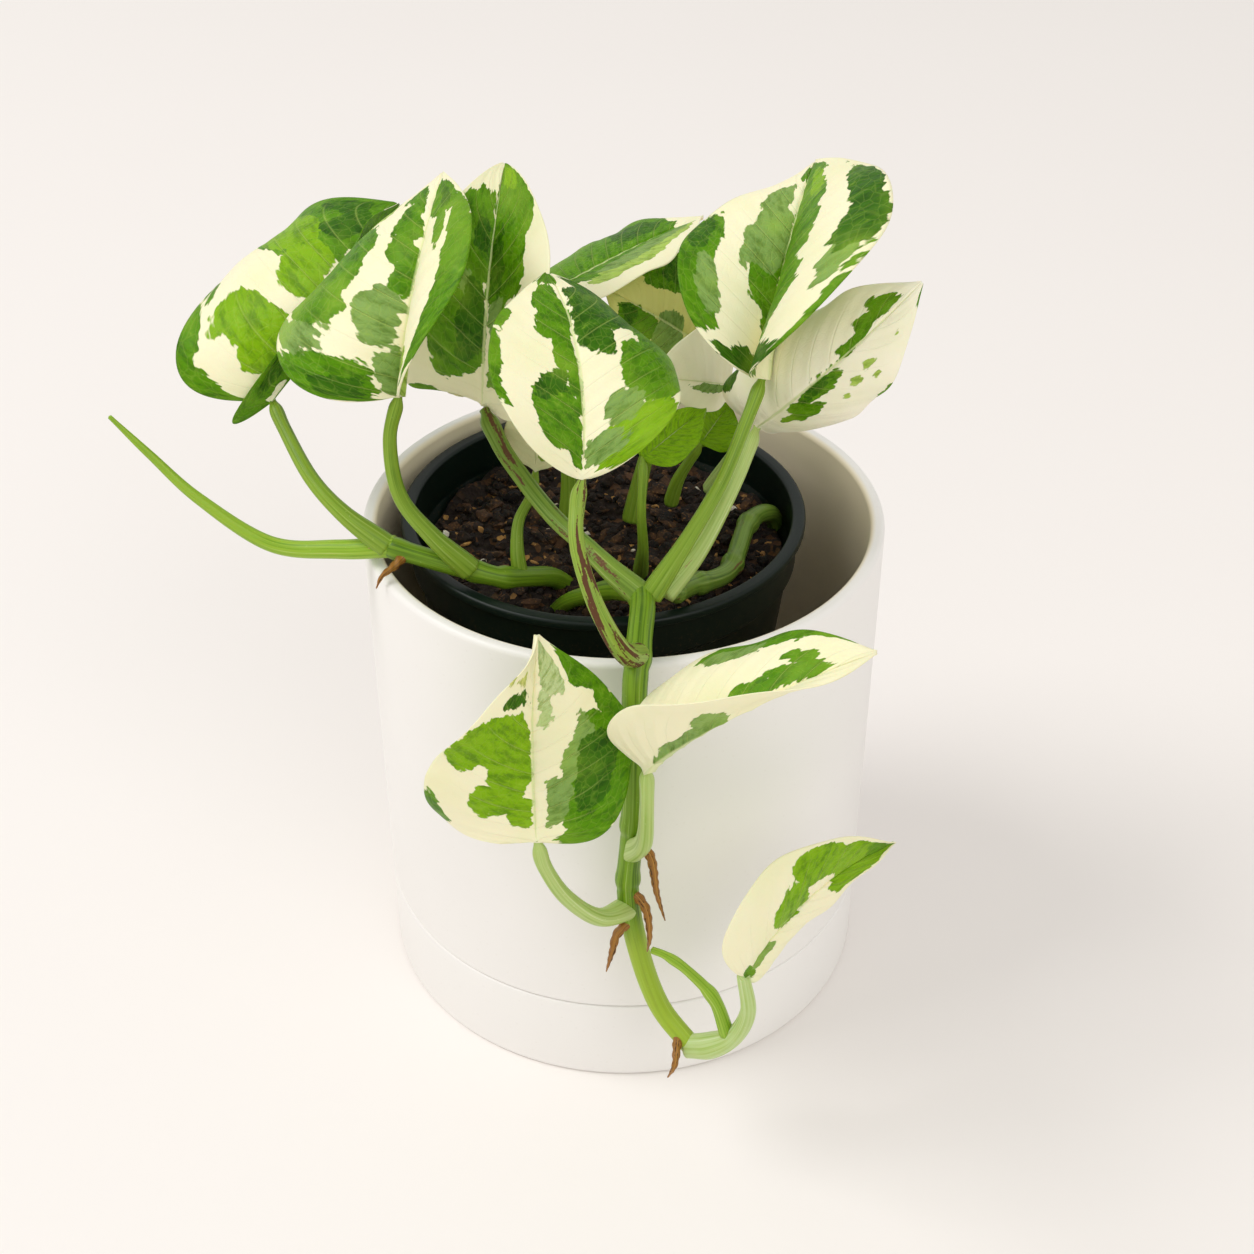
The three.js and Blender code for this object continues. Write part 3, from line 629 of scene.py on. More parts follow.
stem("vine_on_soil", "soil_vine",
     [(40, 19, 112), (37, 14.5, 121.5), (31, 6, 124), (25, -16, 124.5), (15.5, -28, 128.5), (12, -36, 132)],
     (0.0024, 0.0026), old_skin, (0, 0), noded([0.022, 0.041, 0.057], swell=0.22))
stem("rolled_new_leaf", "new_leaf",
     [(-55, -24, 137), (-66.5, -22, 135), (-83, -19, 134.5), (-99, -16, 145), (-109.5, -13, 155),
      (-118, -11, 164)],
     (0.0026, 0.0007), young_skin, (-0.002, 0), rolled)
stem("young_shoot_rod", "young_shoot",
     [(24.5, -88, 41.5), (21, -87, 53), (15, -85, 60), (10, -83, 63), (6.5, -82, 64)],
     (0.002, 0.0009), young_skin, (0.0012, 0), noded([0.014, 0.026], ribs=3, swell=0.18))


# ---- Leaf stalks -----------------------------------------------------------------------------
# Each leaf's own stalk, grown from a vine node or out of the soil. Its foot widens into a pale
# sheath that clasps the vine, it is grooved along its upper side, and it thickens under the blade.
SLIM_RADII = (0.0014, 0.0011)
STOUT_RADII = (0.0023, 0.0021)
SHEATH_REACH = 0.011


def stalk_shape(distance, length, angle):
    foot = 0.42 * math.exp(-(distance / SHEATH_REACH) ** 2)
    knuckle = 0.12 * math.exp(-((length - distance - 0.003) / 0.003) ** 2)
    groove = 0.2 * math.exp(-((math.remainder(angle - math.pi / 2, 2 * math.pi)) / 0.5) ** 2)
    wings = 0.1 * math.exp(-((abs(math.remainder(angle - math.pi / 2, 2 * math.pi)) - 0.8) / 0.3) ** 2)
    fade = 1 - math.exp(-((length - distance) / 0.004) ** 2)
    neck = 1 - 0.45 * math.exp(-((length - distance) / 0.0016) ** 2)
    return (1 + foot + knuckle + (wings - groove) * fade) * neck


stalk_skin = stem_material("stalk_skin", "#5c8016", "#88a832", "#bfd182", "#7a5a34", scarred=0.01, seed=2.0)
scarred_skin = stem_material("scarred_skin", "#68882a", "#90ab3e", "#c2d08c", "#5d3b22",
                             scarred=0.22, seed=6.0)
brown_skin = stem_material("brown_skin", "#55781e", "#7f9c3a", "#b0c074", "#6b4a30", scarred=0.17, seed=12.0)
pale_skin = stem_material("pale_skin", "#90ae45", "#b3c976", "#dce6b4", "#a3905c", seed=7.0)

stalks = {
    "front": ([(3.2, -66, 136.5), (0.5, -72.5, 142), (-2.5, -74, 148), (-6.5, -71, 156),
               (-9.5, -65, 164.5), (-9.5, -59, 170), (-8.5, -56, 174.5)], scarred_skin),
    "mid_left": ([(-35.5, -28.5, 133.5), (-44, -29, 143.5), (-50.5, -28, 153.5), (-52, -26, 166.5),
                  (-49.5, -24, 176.5)], stalk_skin),
    "far_left": ([(-55, -24, 137), (-64.5, -22, 144.5), (-72.5, -15, 150), (-79.5, -4, 156.5),
                  (-83, 2.5, 160.5)], stalk_skin),
    "tall": ([(4, -46, 138), (-2.5, -42, 141.9), (-8.4, -36, 144.6), (-14.4, -30, 146.9),
              (-19, -25, 149.7), (-23.4, -20.5, 153.6), (-27.4, -16.5, 157.8),
              (-30.4, -12.5, 162.3), (-31.7, -10, 164.6)], brown_skin),
    "right_top": ([(6, -46, 138.5), (14.5, -42, 151.5), (21.5, -36, 162), (27, -28, 172.5),
                   (30.5, -22, 179.5)], stalk_skin),
    "right_low": ([(9, -42, 136), (17.5, -34, 143), (25.5, -22, 153), (30.5, -12.5, 161.5)], pale_skin),
    "pale_left": ([(-24.3, -24, 128.5), (-25, -22, 135.1), (-24.5, -18, 140.3), (-21.7, -14, 144.7),
                   (-20.5, -11, 149.7)], stalk_skin),
    "back_top": ([(-14, 8, 121.5), (-14, 10, 140), (-18, 11, 165), (-15, 14, 184)], stalk_skin),
    "back_mid": ([(2, 12, 121.5), (6, 14, 140), (14, 14, 158), (18, 12, 170.5)], stalk_skin),
    "back_right": ([(22, 26, 121.5), (30, 22, 140), (29, 13, 155), (25, 6, 163)], pale_skin),
    "under": ([(4, -12, 121.5), (4.5, -20, 134), (4, -23, 146), (4.5, -20, 158)], stalk_skin),
    "back_small": ([(12, 20, 121.5), (14, 18, 130), (19, 14, 142)], stalk_skin),
    "low_left": ([(1, -75, 70.5), (-5.5, -84, 76.5), (-12.5, -88.5, 87), (-17, -89, 96.5),
                  (-18.5, -88, 103)], pale_skin),
    "low_right": ([(2, -75, 88.5), (4.5, -82.5, 98), (5, -84.5, 109), (5, -84, 120)], pale_skin),
}
odd_radii = {"tall": STOUT_RADII}
odd_radii.update(dict.fromkeys(("pale_left", "back_right", "under", "back_small"), SLIM_RADII))
for leaf_name, (route, skin) in stalks.items():
    radii = odd_radii.get(leaf_name, (PETIOLE_RADIUS, PETIOLE_END_RADIUS))
    stem(f"stalk_{leaf_name}", f"petiole_{leaf_name}", route, radii, skin, (0, -0.0006), stalk_shape,
         up=(1, 0, 0.2))


# ---- Leaves ----------------------------------------------------------------------------------
# Heart-shaped blades, waxy and half a millimetre thick, arched along the midrib and rolled at the
# margins. Each has cream, green and grey-green fields that meet in ragged edges along the veins.
BLADE_THICKNESS = 0.0005
BLADE_EDGE = 0.00022
BLADE_ROWS, BLADE_COLUMNS = 104, 84
SIDE_VEINS = 10
VEIN_SWEEP = 0.22
QUILTING = 0.0002
MIDRIB_DROP = 0.0014
MIDRIB_RISE = 0.0009
MIDRIB_WIDTH = 0.0011
MIDRIB_GROOVE = 0.00035
MARGIN_WAVE = 0.0006
LOBE_REACH = 0.36
TIP_REACH = 0.1
PATCH_SQUARENESS = 2.6
TEETH_MIDDLE = 0.073

# One patch: a rounded field on the blade's map, above 0 inside it. Reach is its lesser half size.
patch_group, start, end = new_group(
    "leaf_patch", [("Vector", "Place"), ("Vector", "Centre"), ("Vector", "Half size"), ("Vector", "Turn"),
                   ("Float", "Reach")], [("Float", "Inside")])
local = fed("Mapping", [start[given] for given in ("Place", "Centre", "Turn", "Half size")],
            ("Vector", "Location", "Rotation", "Scale"), vector_type="TEXTURE")
parts = split(local.outputs[0])
shares = [sums("POWER", sums("ABSOLUTE", parts[i]), PATCH_SQUARENESS) for i in (0, 1)]
radius = sums("POWER", sums("ADD", *shares), 1 / PATCH_SQUARENESS)
inside = sums("MULTIPLY", sums("SUBTRACT", 1.0, radius), start["Reach"])
join(inside, end["Inside"])

# Teeth: how far a border is pulled out along the side veins and nicked, three ways that differ.
teeth_group, start, end = new_group(
    "border_teeth", [("Vector", "Place"), ("Float", "Seed")], [("Float", way) for way in "ABC"])
parts = split(start["Place"])
v = sums("MULTIPLY_ADD", parts["X"], 2.0, -1.0)
along = sums("MULTIPLY_ADD", sums("ABSOLUTE", v), -VEIN_SWEEP, parts["Y"])
total = (-TEETH_MIDDLE,) * 3
for across_scale, along_scale, amount in ((3.0, 9.0, 0.07), (6.0, 26.0, 0.05), (20.0, 60.0, 0.026)):
    teeth = noise_at(sums("MULTIPLY", v, across_scale), sums("MULTIPLY", along, along_scale), start["Seed"],
                     Detail=1, Roughness=0.5)
    total = fed("VectorMath", (teeth["Color"], (amount,) * 3, total), range(3),
                operation="MULTIPLY_ADD").outputs[0]
ways = split(total)
for i, way in enumerate("ABC"):
    join(ways[i], end[way])

# Veins: the midrib and the side veins that sweep to the tip, and a fine net between them.
vein_group, start, end = new_group(
    "leaf_veins", [("Float", "Seed")],
    [("Float", drawn) for drawn in ("Midrib", "Side veins", "Net", "Relief", "Strokes")])
where = add(vein_group, "UVMap", uv_map="surface").outputs[0]
parts = split(where)
v = sums("ABSOLUTE", sums("MULTIPLY_ADD", parts["X"], 2.0, -1.0))
narrowing = sums("MULTIPLY_ADD", parts["Y"], -0.022, 0.036)
midrib = between(sums("DIVIDE", v, narrowing), 1.0, 0.35)
along = sums("MULTIPLY_ADD", v, -VEIN_SWEEP, parts["Y"])
phase = sums("FRACT", sums("MULTIPLY", along, float(SIDE_VEINS)))
off_vein = sums("ABSOLUTE", sums("SUBTRACT", phase, 0.5))
thin_out = between(v, 0.98, 0.4)
side_veins = sums("MULTIPLY", between(off_vein, 0.44, 0.5), thin_out)
net = texture("Voronoi", where, feature="DISTANCE_TO_EDGE", Scale=27)
fine = between(net["Distance"], 0.09, 0.0)
strokes = noise_at(sums("MULTIPLY", v, 5.0), sums("MULTIPLY", along, 26.0), start["Seed"],
                   Detail=4, Roughness=0.65)
join(strokes["Fac"], end["Strokes"])
relief = sums("MULTIPLY_ADD", side_veins, -0.7, sums("MULTIPLY", fine, -0.14))
for value, output in ((midrib, "Midrib"), (side_veins, "Side veins"), (fine, "Net"), (relief, "Relief")):
    join(value, end[output])

CREAM = "#f8f3cd"
GREEN, DARK, BRIGHT = "#568c00", "#386a02", "#80b000"
GREY_GREEN, LIGHT, YELLOW = "#83a455", "#aecb5c", "#dfdf86"


def leaf_material(name, fields, cream=CREAM, rag=1.0, seed=0.0, rib="#dbe5a6"):
    """A blade's skin: cream, with each field's patches laid over it in turn.
    A field is (colour, patches), and a patch (v, u, half v, half u, turn in degrees)."""
    material, tree, shader = new_material(
        name, IOR=1.36, Subsurface_Weight=0.08, Subsurface_Scale=0.001,
        Specular_IOR_Level=0.2, Coat_Weight=0.02, Coat_Roughness=0.3)
    soft = use_group(tree, clouding, Scale=55, Grain=420)
    veins = use_group(tree, vein_group, Seed=seed)
    colour = blend(between(soft["Clouds"], 0.4, 0.7),
                   cream, [0.75 * a + 0.25 * b for a, b in zip(linear(cream), linear("#e3e9a6"))])
    place = add(tree, "UVMap", uv_map="surface").outputs[0]
    teeth = use_group(tree, teeth_group, Place=place, Seed=seed)
    green_over = None
    for i, (shade, patches) in enumerate(fields):
        inside = None
        for patch in patches:
            v, u, half_v, half_u, turn = (*patch, 0)[:5]
            one = use_group(tree, patch_group, Place=place, Centre=(v / 2 + 0.5, u, 0),
                            Half_size=(half_v / 2, half_u, 1), Turn=(0, 0, -math.radians(turn)),
                            Reach=min(half_v / 2, half_u))[0]
            inside = one if inside is None else sums("MAXIMUM", inside, one)
        border = sums("MULTIPLY_ADD", teeth[i % 3], rag, inside)
        mask = between(border, -0.003, 0.003)
        colour = blend(mask, colour, shade)
        green_over = mask if green_over is None else sums("MAXIMUM", green_over, mask)
    dim = blend(0.7, colour, "#9aae60", "MULTIPLY")
    lit = blend(0.4, colour, "#a2c83c")
    strokes = veins["Strokes"]
    dark_strokes = between(strokes, 0.56, 0.34)
    light_strokes = sums("MAXIMUM", between(strokes, 0.56, 0.76),
                         between(soft["Clouds"], 0.45, 0.75))
    for tone, over in ((dark_strokes, dim), (light_strokes, lit)):
        colour = blend(sums("MULTIPLY", tone, green_over), colour, over)
    for part, strength, tint in (("Side veins", 0.32, "#b9d268"), ("Net", 0.13, "#a9c850")):
        drawn = sums("MULTIPLY", veins[part], strength)
        colour = blend(sums("MULTIPLY", drawn, green_over), colour, tint)
    rib_tint = sums("MULTIPLY", veins["Midrib"], 0.75)
    colour = blend(rib_tint, colour, rib)
    join(colour, shader.inputs["Base Color"])
    join(sums("MULTIPLY_ADD", soft["Clouds"], 0.18, 0.36), shader.inputs["Roughness"])
    pucker = sums("MULTIPLY_ADD", green_over, 0.7, 0.25)
    relief = sums("MULTIPLY", veins["Relief"],
                  sums("MULTIPLY_ADD", green_over, 0.7, 0.3))
    height = sums("MULTIPLY_ADD", soft["Grain"], pucker, relief)
    emboss(shader, height, 0.7, 0.0005)
    return material


def blade_frame(leaf):
    """The blade's base, its three directions and its length along the arched midrib."""
    base = Vector(leaf["base"]) / 1000
    chord = Vector(leaf["tip"]) / 1000 - base
    forward = chord.normalized()
    face = Vector(leaf["face"])
    up = (face - forward * face.dot(forward)).normalized()
    arch = math.radians(max(leaf["arch"], 0.01))
    return base, forward, up, forward.cross(up), chord.length * arch / (2 * math.sin(arch / 2)), arch


def blade_surface(leaf, u, v):
    """Points of a blade's middle surface. u and v are arrays: base to tip, and -1 to 1 across."""
    base, forward, up, right, length, arch = blade_frame(leaf)
    half = (v >= 0).astype(int)
    def per_side(key, default=(0, 0)):
        return np.take(np.array(leaf.get(key, default), float), half)
    width = per_side("width") / 1000
    margin_out = width * np.sin(np.pi * u ** per_side("peak")) ** 0.82
    lobe_back = np.where(u < LOBE_REACH, np.sin(np.pi * u / LOBE_REACH), 0)
    margin_along = length * (u - 1.4 * per_side("lobe") * lobe_back)
    rib_along = length * u ** 1.15
    out = np.abs(v) * margin_out
    along = (rib_along + (margin_along - rib_along) * np.abs(v) ** 1.2) / length
    # The last stretch narrows and runs out into a short point.
    ending = np.clip((u - (1 - TIP_REACH)) / TIP_REACH, 0, 1) ** 2
    out = out * (1 - leaf.get("taper", 0.35) * ending)
    along = along + leaf.get("point", 1.2) / 1000 / length * ending
    to_tip = np.clip(along, 0, 1)
    fold, fold_tip = per_side("fold"), per_side("fold_tip", leaf["fold"])
    lean = np.radians(fold + (fold_tip - fold) * to_tip)
    roll = np.radians(per_side("curl"))
    turn = lean + roll * out / width
    across = (np.sin(turn) - np.sin(lean)) * width / roll
    rise = (np.cos(lean) - np.cos(turn)) * width / roll
    here = arch * (along - 0.5)
    f, g, r, b = (np.array(q) for q in (forward, up, right, base))
    ahead = (length / arch) * (np.sin(here) + np.sin(arch / 2))
    above = (length / arch) * (np.cos(here) - np.cos(arch / 2))
    bow = leaf.get("sway", 0) * length * 4 * along * (1 - along)
    point = b + ahead[..., None] * f + above[..., None] * g + bow[..., None] * r
    rib_up = np.cos(here)[..., None] * g + np.sin(here)[..., None] * f
    about = (np.radians(leaf.get("twist", 0)) * (along - 0.5))[..., None]
    sideways = r * np.cos(about) + rib_up * np.sin(about)
    outwards = rib_up * np.cos(about) - r * np.sin(about)
    sign = np.where(v < 0, -1, 1)
    return point + sideways * (sign * across)[..., None] + outwards * rise[..., None]


def blade(name, leaf, fields, **looks):
    """A blade as a closed sheet in its own skin: quilted between its side veins, thin at the margin,
    with a groove along the midrib above and a keel below it that meets the stalk."""
    material = leaf_material(f"{name}_leaf_skin", fields, **looks)
    rows, columns = BLADE_ROWS, BLADE_COLUMNS
    if leaf["width"][0] + leaf["width"][1] < 24:
        rows, columns = rows // 2, columns // 2
    t = np.linspace(0, 1, rows + 1)
    u = 0.008 + 0.984 * (0.35 * t + 0.65 * (1 - np.cos(np.pi * t)) / 2)
    s = np.linspace(-1, 1, columns + 1)
    v = np.sign(s) * np.abs(s) ** 1.15
    u, v = np.meshgrid(u, v, indexing="ij")
    middle = blade_surface(leaf, u, v)
    along = np.gradient(middle, axis=0)
    across = np.gradient(middle, axis=1)
    normal = np.cross(across, along)
    normal /= np.linalg.norm(normal, axis=2, keepdims=True) + 1e-12
    phase = (u - VEIN_SWEEP * np.abs(v)) * SIDE_VEINS
    quilt = np.abs(np.sin(np.pi * (phase - 0.5))) ** 0.7 - 0.6
    fade = np.clip((1 - np.abs(v)) / 0.25, 0, 1) * np.clip(u / 0.15, 0, 1) * np.clip((1 - u) / 0.12, 0, 1)
    draw = random.Random(name)
    start, pace = draw.uniform(0, 6), draw.uniform(2.2, 3.4)
    wave = MARGIN_WAVE * np.abs(v) ** 3 * np.sin(start + pace * 2 * np.pi * u + 0.6 * np.sign(v))
    groove = -MIDRIB_GROOVE * np.exp(-(np.abs(v) / 0.03) ** 2)
    middle = middle + normal * (QUILTING * quilt * fade + wave + groove)[..., None]
    thick = BLADE_EDGE + (BLADE_THICKNESS - BLADE_EDGE) * (1 - np.abs(v) ** 6)
    # The midrib: a ridge above that sinks into the groove, and a keel below that meets the stalk.
    off_rib = np.linalg.norm(middle - middle[:, columns // 2, None], axis=2) / MIDRIB_WIDTH
    ridge = MIDRIB_RISE * (1 - u) ** 5 * np.exp(-off_rib ** 2)
    keel = MIDRIB_DROP * (1 - u) ** 1.5 * np.exp(-off_rib ** 2) + 0.00006 * (1 - quilt) * fade
    top = middle + normal * (thick / 2 + ridge)[..., None]
    under = middle - normal * (thick / 2 + keel)[..., None]
    vertices = [Vector(p) for p in top.reshape(-1, 3)] + [Vector(p) for p in under.reshape(-1, 3)]
    flat = [(b * 0.5 + 0.5, a) for a, b in zip(u.ravel(), v.ravel())]
    span, below = columns + 1, (rows + 1) * (columns + 1)
    faces = []
    for i in range(rows):
        for j in range(columns):
            a = i * span + j
            faces.append((a, a + 1, a + 1 + span, a + span))
            faces.append((below + a, below + a + span, below + a + 1 + span, below + a + 1))
    for j in range(columns):
        a = rows * span + j
        faces.append((below + j, below + j + 1, j + 1, j))
        faces.append((a, a + 1, below + a + 1, below + a))
    for i in range(rows):
        a, b = i * span, i * span + columns
        faces.append((a, a + span, below + a + span, below + a))
        faces.append((b, below + b, below + b + span, b + span))
    piece = new_piece(f"blade_{name}", vertices, faces, material, flat + flat)
    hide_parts(f"leaf_{name}")


# The front leaf faces the viewer over both rims, with a green wedge beside its midrib.
blade("front", dict(
    base=(-8.5, -56, 174.5), tip=(-16, -18, 202.5), face=(0.2, -0.8, 0.6), arch=80,
    width=(19, 25), fold=(16, 41), fold_tip=(-7, -7), curl=(2, -75), peak=(0.9, 0.9),
    sway=0.03, twist=-12,
), [
    (GREEN, [(-0.32, 0.84, 0.3, 0.08, 10), (-0.24, 0.72, 0.24, 0.1), (-0.15, 0.59, 0.13, 0.11),
             (-0.07, 0.46, 0.07, 0.09), (-0.05, 0.36, 0.05, 0.09), (-0.4, 0.97, 0.6, 0.05),
             (-0.32, 0.29, 0.3, 0.14), (-0.18, 0.14, 0.13, 0.08), (-0.97, 0.7, 0.12, 0.06),
             (-0.97, 0.5, 0.1, 0.16),
             (0.7, 0.45, 0.35, 0.15), (0.84, 0.6, 0.24, 0.1)]),
    (BRIGHT, [(0.66, 0.18, 0.38, 0.13)]),
    (DARK, [(-0.3, 0.43, 0.19, 0.045, -16), (0.2, 0.68, 0.18, 0.13), (0.46, 0.78, 0.42, 0.14),
            (0.75, 0.86, 0.35, 0.11)]),
    (GREY_GREEN, [(0.4, 0.31, 0.19, 0.07), (0.3, 0.15, 0.26, 0.07, -14)]),
], seed=1.0)

# The middle left leaf shows its cupped left half and curls over at the tip.
blade("mid_left", dict(
    base=(-49.5, -24, 176.5), tip=(-40.5, 10.5, 213.5), face=(-0.6, -0.7, 0.35), arch=74,
    width=(38, 18.5), fold=(60, 66), fold_tip=(-2, 7), curl=(-75, -50),
    peak=(0.74, 0.87), lobe=(0.01, 0.01), sway=0.13, twist=10, point=1.5,
), [
    (LIGHT, [(-0.85, 0.8, 0.22, 0.08), (0.2, 0.12, 0.3, 0.12)]),
    (GREEN, [(-0.34, 0.88, 0.2, 0.06, 8), (-0.22, 0.77, 0.13, 0.1), (-0.15, 0.66, 0.1, 0.1),
             (-0.08, 0.54, 0.07, 0.11), (-0.74, 0.51, 0.32, 0.2), (-0.66, 0.38, 0.24, 0.08),
             (-0.68, 0.12, 0.41, 0.1),
             (0.4, 0.84, 0.4, 0.1), (0.42, 0.7, 0.11, 0.1), (0.82, 0.48, 0.22, 0.36)]),
    (GREY_GREEN, [(-0.76, 0.275, 0.28, 0.045), (-0.18, 0.36, 0.15, 0.1), (-0.11, 0.12, 0.1, 0.12)]),
    (DARK, [(-0.62, 0.1, 0.24, 0.05), (0.5, 0.84, 0.16, 0.06)]),
], seed=5.0)

# The far left leaf hangs outwards on the planter's left side.
blade("far_left", dict(
    base=(-83, 2.5, 160.5), tip=(-54.2, 36.2, 195.0), face=(-0.85, -0.15, 0.5), arch=0,
    width=(49.5, 11.5), fold=(76.5, 110), fold_tip=(56, 60), curl=(-85, -79),
    peak=(1.27, 1.3), lobe=(0.2, 0.23), sway=0.165, twist=14.5,
), [
    (GREEN, [(-0.6, 0.81, 0.5, 0.23), (-0.9, 0.09, 0.16, 0.1), (-0.96, 0.21, 0.09, 0.13),
             (0.52, 0.5, 0.62, 0.6)]),
    (BRIGHT, [(-0.28, 0.57, 0.14, 0.11), (-0.5, 0.31, 0.31, 0.07), (-0.36, 0.24, 0.16, 0.07, 24),
              (-0.7, 0.7, 0.28, 0.1)]),
    (DARK, [(-0.32, 0.84, 0.14, 0.08), (-0.6, 0.9, 0.2, 0.05), (0.6, 0.5, 0.3, 0.3)]),
], seed=9.0)

# The tall leaf stands upright behind the others.
blade("tall", dict(
    base=(-32, -8, 165.5), tip=(-26.5, 13, 215.5), face=(-0.15, -0.95, 0.3), arch=80,
    width=(22, 21), fold=(-15, 32), fold_tip=(9, 30), curl=(15, 14),
    peak=(0.56, 0.75), lobe=(0.14, 0.03), sway=0.01, twist=-16, point=0, taper=0,
), [
    (GREEN, [(-0.45, 0.79, 0.46, 0.09), (-0.2, 0.65, 0.22, 0.13), (-0.3, 0.36, 0.33, 0.17),
             (0.46, 0.86, 0.5, 0.15), (0.3, 0.66, 0.31, 0.15), (0.14, 0.53, 0.18, 0.06),
             (0.26, 0.22, 0.2, 0.05, -16), (-0.9, 0.1, 0.2, 0.06)]),
    (GREY_GREEN, [(0.15, 0.43, 0.11, 0.07), (-0.28, 0.55, 0.1, 0.05)]),
    (DARK, [(-0.17, 0.4, 0.15, 0.15), (0.14, 0.6, 0.1, 0.12), (-0.2, 0.72, 0.16, 0.06)]),
    (BRIGHT, [(0.5, 0.93, 0.3, 0.05)]),
], seed=13.0)

# The top right leaf shows its whole upper side, with a green band along each margin.
blade("right_top", dict(
    base=(30.5, -22, 179.5), tip=(44, 25.5, 210), face=(-0.4, -0.7, 0.6), arch=65,
    width=(23.5, 36), fold=(79, 92), fold_tip=(-20, 34), curl=(-23, -75),
    peak=(0.69, 0.63), sway=0.04, twist=-12,
), [
    (GREEN, [(0.22, 0.62, 0.23, 0.32), (0.2, 0.92, 0.38, 0.06), (0.33, 0.28, 0.19, 0.14),
             (-0.07, 0.26, 0.08, 0.1), (-0.89, 0.36, 0.25, 0.22), (-0.16, 0.4, 0.17, 0.12),
             (0.97, 0.14, 0.06, 0.16)]),
    (GREY_GREEN, [(-0.33, 0.75, 0.22, 0.08, -18), (-0.23, 0.57, 0.25, 0.15), (-0.72, 0.3, 0.1, 0.1),
                  (0.8, 0.33, 0.1, 0.07)]),
    (DARK, [(0.83, 0.56, 0.15, 0.24), (-0.62, 0.07, 0.36, 0.05), (0.62, 0.07, 0.36, 0.05),
            (-0.9, 0.5, 0.12, 0.08)]),
    (BRIGHT, [(0.3, 0.8, 0.12, 0.1)]),
], seed=17.0)

# The lower right leaf is nearly all cream, thin and freckled, with green beside its midrib.
blade("right_low", dict(
    base=(31, -12, 162.5), tip=(62.5, -28, 205.5), face=(0.05, -0.7, 0.75), arch=80,
    width=(17.5, 15), fold=(15, -15), fold_tip=(9, -5), curl=(-75, -75),
    peak=(0.9, 0.9), lobe=(0.22, 0.22), sway=0.06, twist=25, point=0.9,
), [
    (GREEN, [(-0.36, 0.87, 0.26, 0.06), (-0.24, 0.8, 0.13, 0.06), (-0.09, 0.72, 0.07, 0.09),
             (-0.02, 0.64, 0.03, 0.07), (0.11, 0.58, 0.09, 0.07), (0.12, 0.46, 0.1, 0.14),
             (0.28, 0.42, 0.11, 0.08), (0.19, 0.32, 0.05, 0.08), (0.9, 0.97, 0.12, 0.03),
             (0.98, 0.64, 0.04, 0.07)]),
    (LIGHT, [(0.37, 0.71, 0.07, 0.02), (0.63, 0.71, 0.04, 0.013), (0.41, 0.64, 0.06, 0.024),
             (-0.45, 0.74, 0.03, 0.008), (0.55, 0.85, 0.04, 0.008), (0.5, 0.56, 0.03, 0.01)]),
    (DARK, [(0.1, 0.5, 0.06, 0.07), (-0.95, 0.22, 0.12, 0.05)]),
], cream="#fffae0", rag=0.8, seed=21.0)

# A small pale leaf behind the front one, on a thin stalk from the left vine.
blade("pale_left", dict(
    base=(-20.5, -11, 149.7), tip=(-19.6, -8, 169), face=(-0.1, -0.9, 0.4), arch=25,
    width=(7.5, 9), fold=(15, 15), curl=(-10, -10), peak=(0.95, 0.95),
), [
    (LIGHT, [(0.3, 0.3, 0.2, 0.12)]),
], cream="#f3efbf", seed=25.0)

# Five leaves at the back and under the others, on stalks that come straight out of the soil.
blade("back_top", dict(
    base=(-15, 14, 184), tip=(18.5, 35, 192.5), face=(0, -0.15, 1), arch=12,
    width=(22, 17.5), fold=(-5, 25), fold_tip=(-6, 33), curl=(-44, -20),
    peak=(0.79, 0.79), lobe=(0.1, 0.1), twist=-1,
), [
    (GREEN, [(-0.4, 0.45, 0.9, 0.42)]),
    (LIGHT, [(0.52, 0.55, 0.2, 0.38)]),
    (GREY_GREEN, [(0.33, 0.6, 0.16, 0.34)]),
    (DARK, [(-0.45, 0.66, 0.3, 0.14)]),
], seed=29.0)
# The back middle leaf's cream, #dcdc86, is darker and yellower than the others': painted shade for a leaf
# that sits in the shade of those in front.
blade("back_mid", dict(
    base=(18, 12, 170.5), tip=(-3.5, 12, 184.5), face=(0, -0.6, 0.8), arch=20,
    width=(16, 18), fold=(10, 20), curl=(-10, -10), peak=(0.74, 0.74), lobe=(0.05, 0.05),
), [
    (GREEN, [(-0.4, 0.74, 0.4, 0.14), (-0.25, 0.58, 0.24, 0.1), (0.75, 0.58, 0.35, 0.2)]),
    (GREY_GREEN, [(-0.2, 0.38, 0.4, 0.14)]),
    (DARK, [(-0.3, 0.78, 0.24, 0.07), (0.75, 0.55, 0.2, 0.12)]),
], cream="#dcdc86", seed=33.0)
blade("back_right", dict(
    base=(25, 6, 163), tip=(6.5, -4, 170.5), face=(0, -0.85, 0.5), arch=20,
    width=(7, 15), fold=(10, 20), curl=(-10, -10), peak=(0.74, 0.74), lobe=(0.05, 0.05),
), [
    (GREY_GREEN, [(-0.2, 0.3, 0.16, 0.26)]),
], cream="#f7f3d2", seed=37.0)
blade("under", dict(
    base=(4.5, -20, 158), tip=(18.5, -8, 164), face=(0.1, -0.5, 0.8), arch=20,
    width=(6, 7), fold=(10, 20), curl=(-10, -10), peak=(0.74, 0.74), lobe=(0.05, 0.05),
), [
    (BRIGHT, [(0, 0.5, 1.4, 0.8)]),
], seed=41.0)
blade("back_small", dict(
    base=(19, 14, 142), tip=(26, 22, 148.5), face=(0, -0.6, 0.8), arch=20,
    width=(8, 8), fold=(10, 20), curl=(-10, -10), peak=(0.74, 0.74), lobe=(0.05, 0.05),
), [
    (BRIGHT, [(0, 0.5, 1.4, 0.8)]),
], seed=45.0)

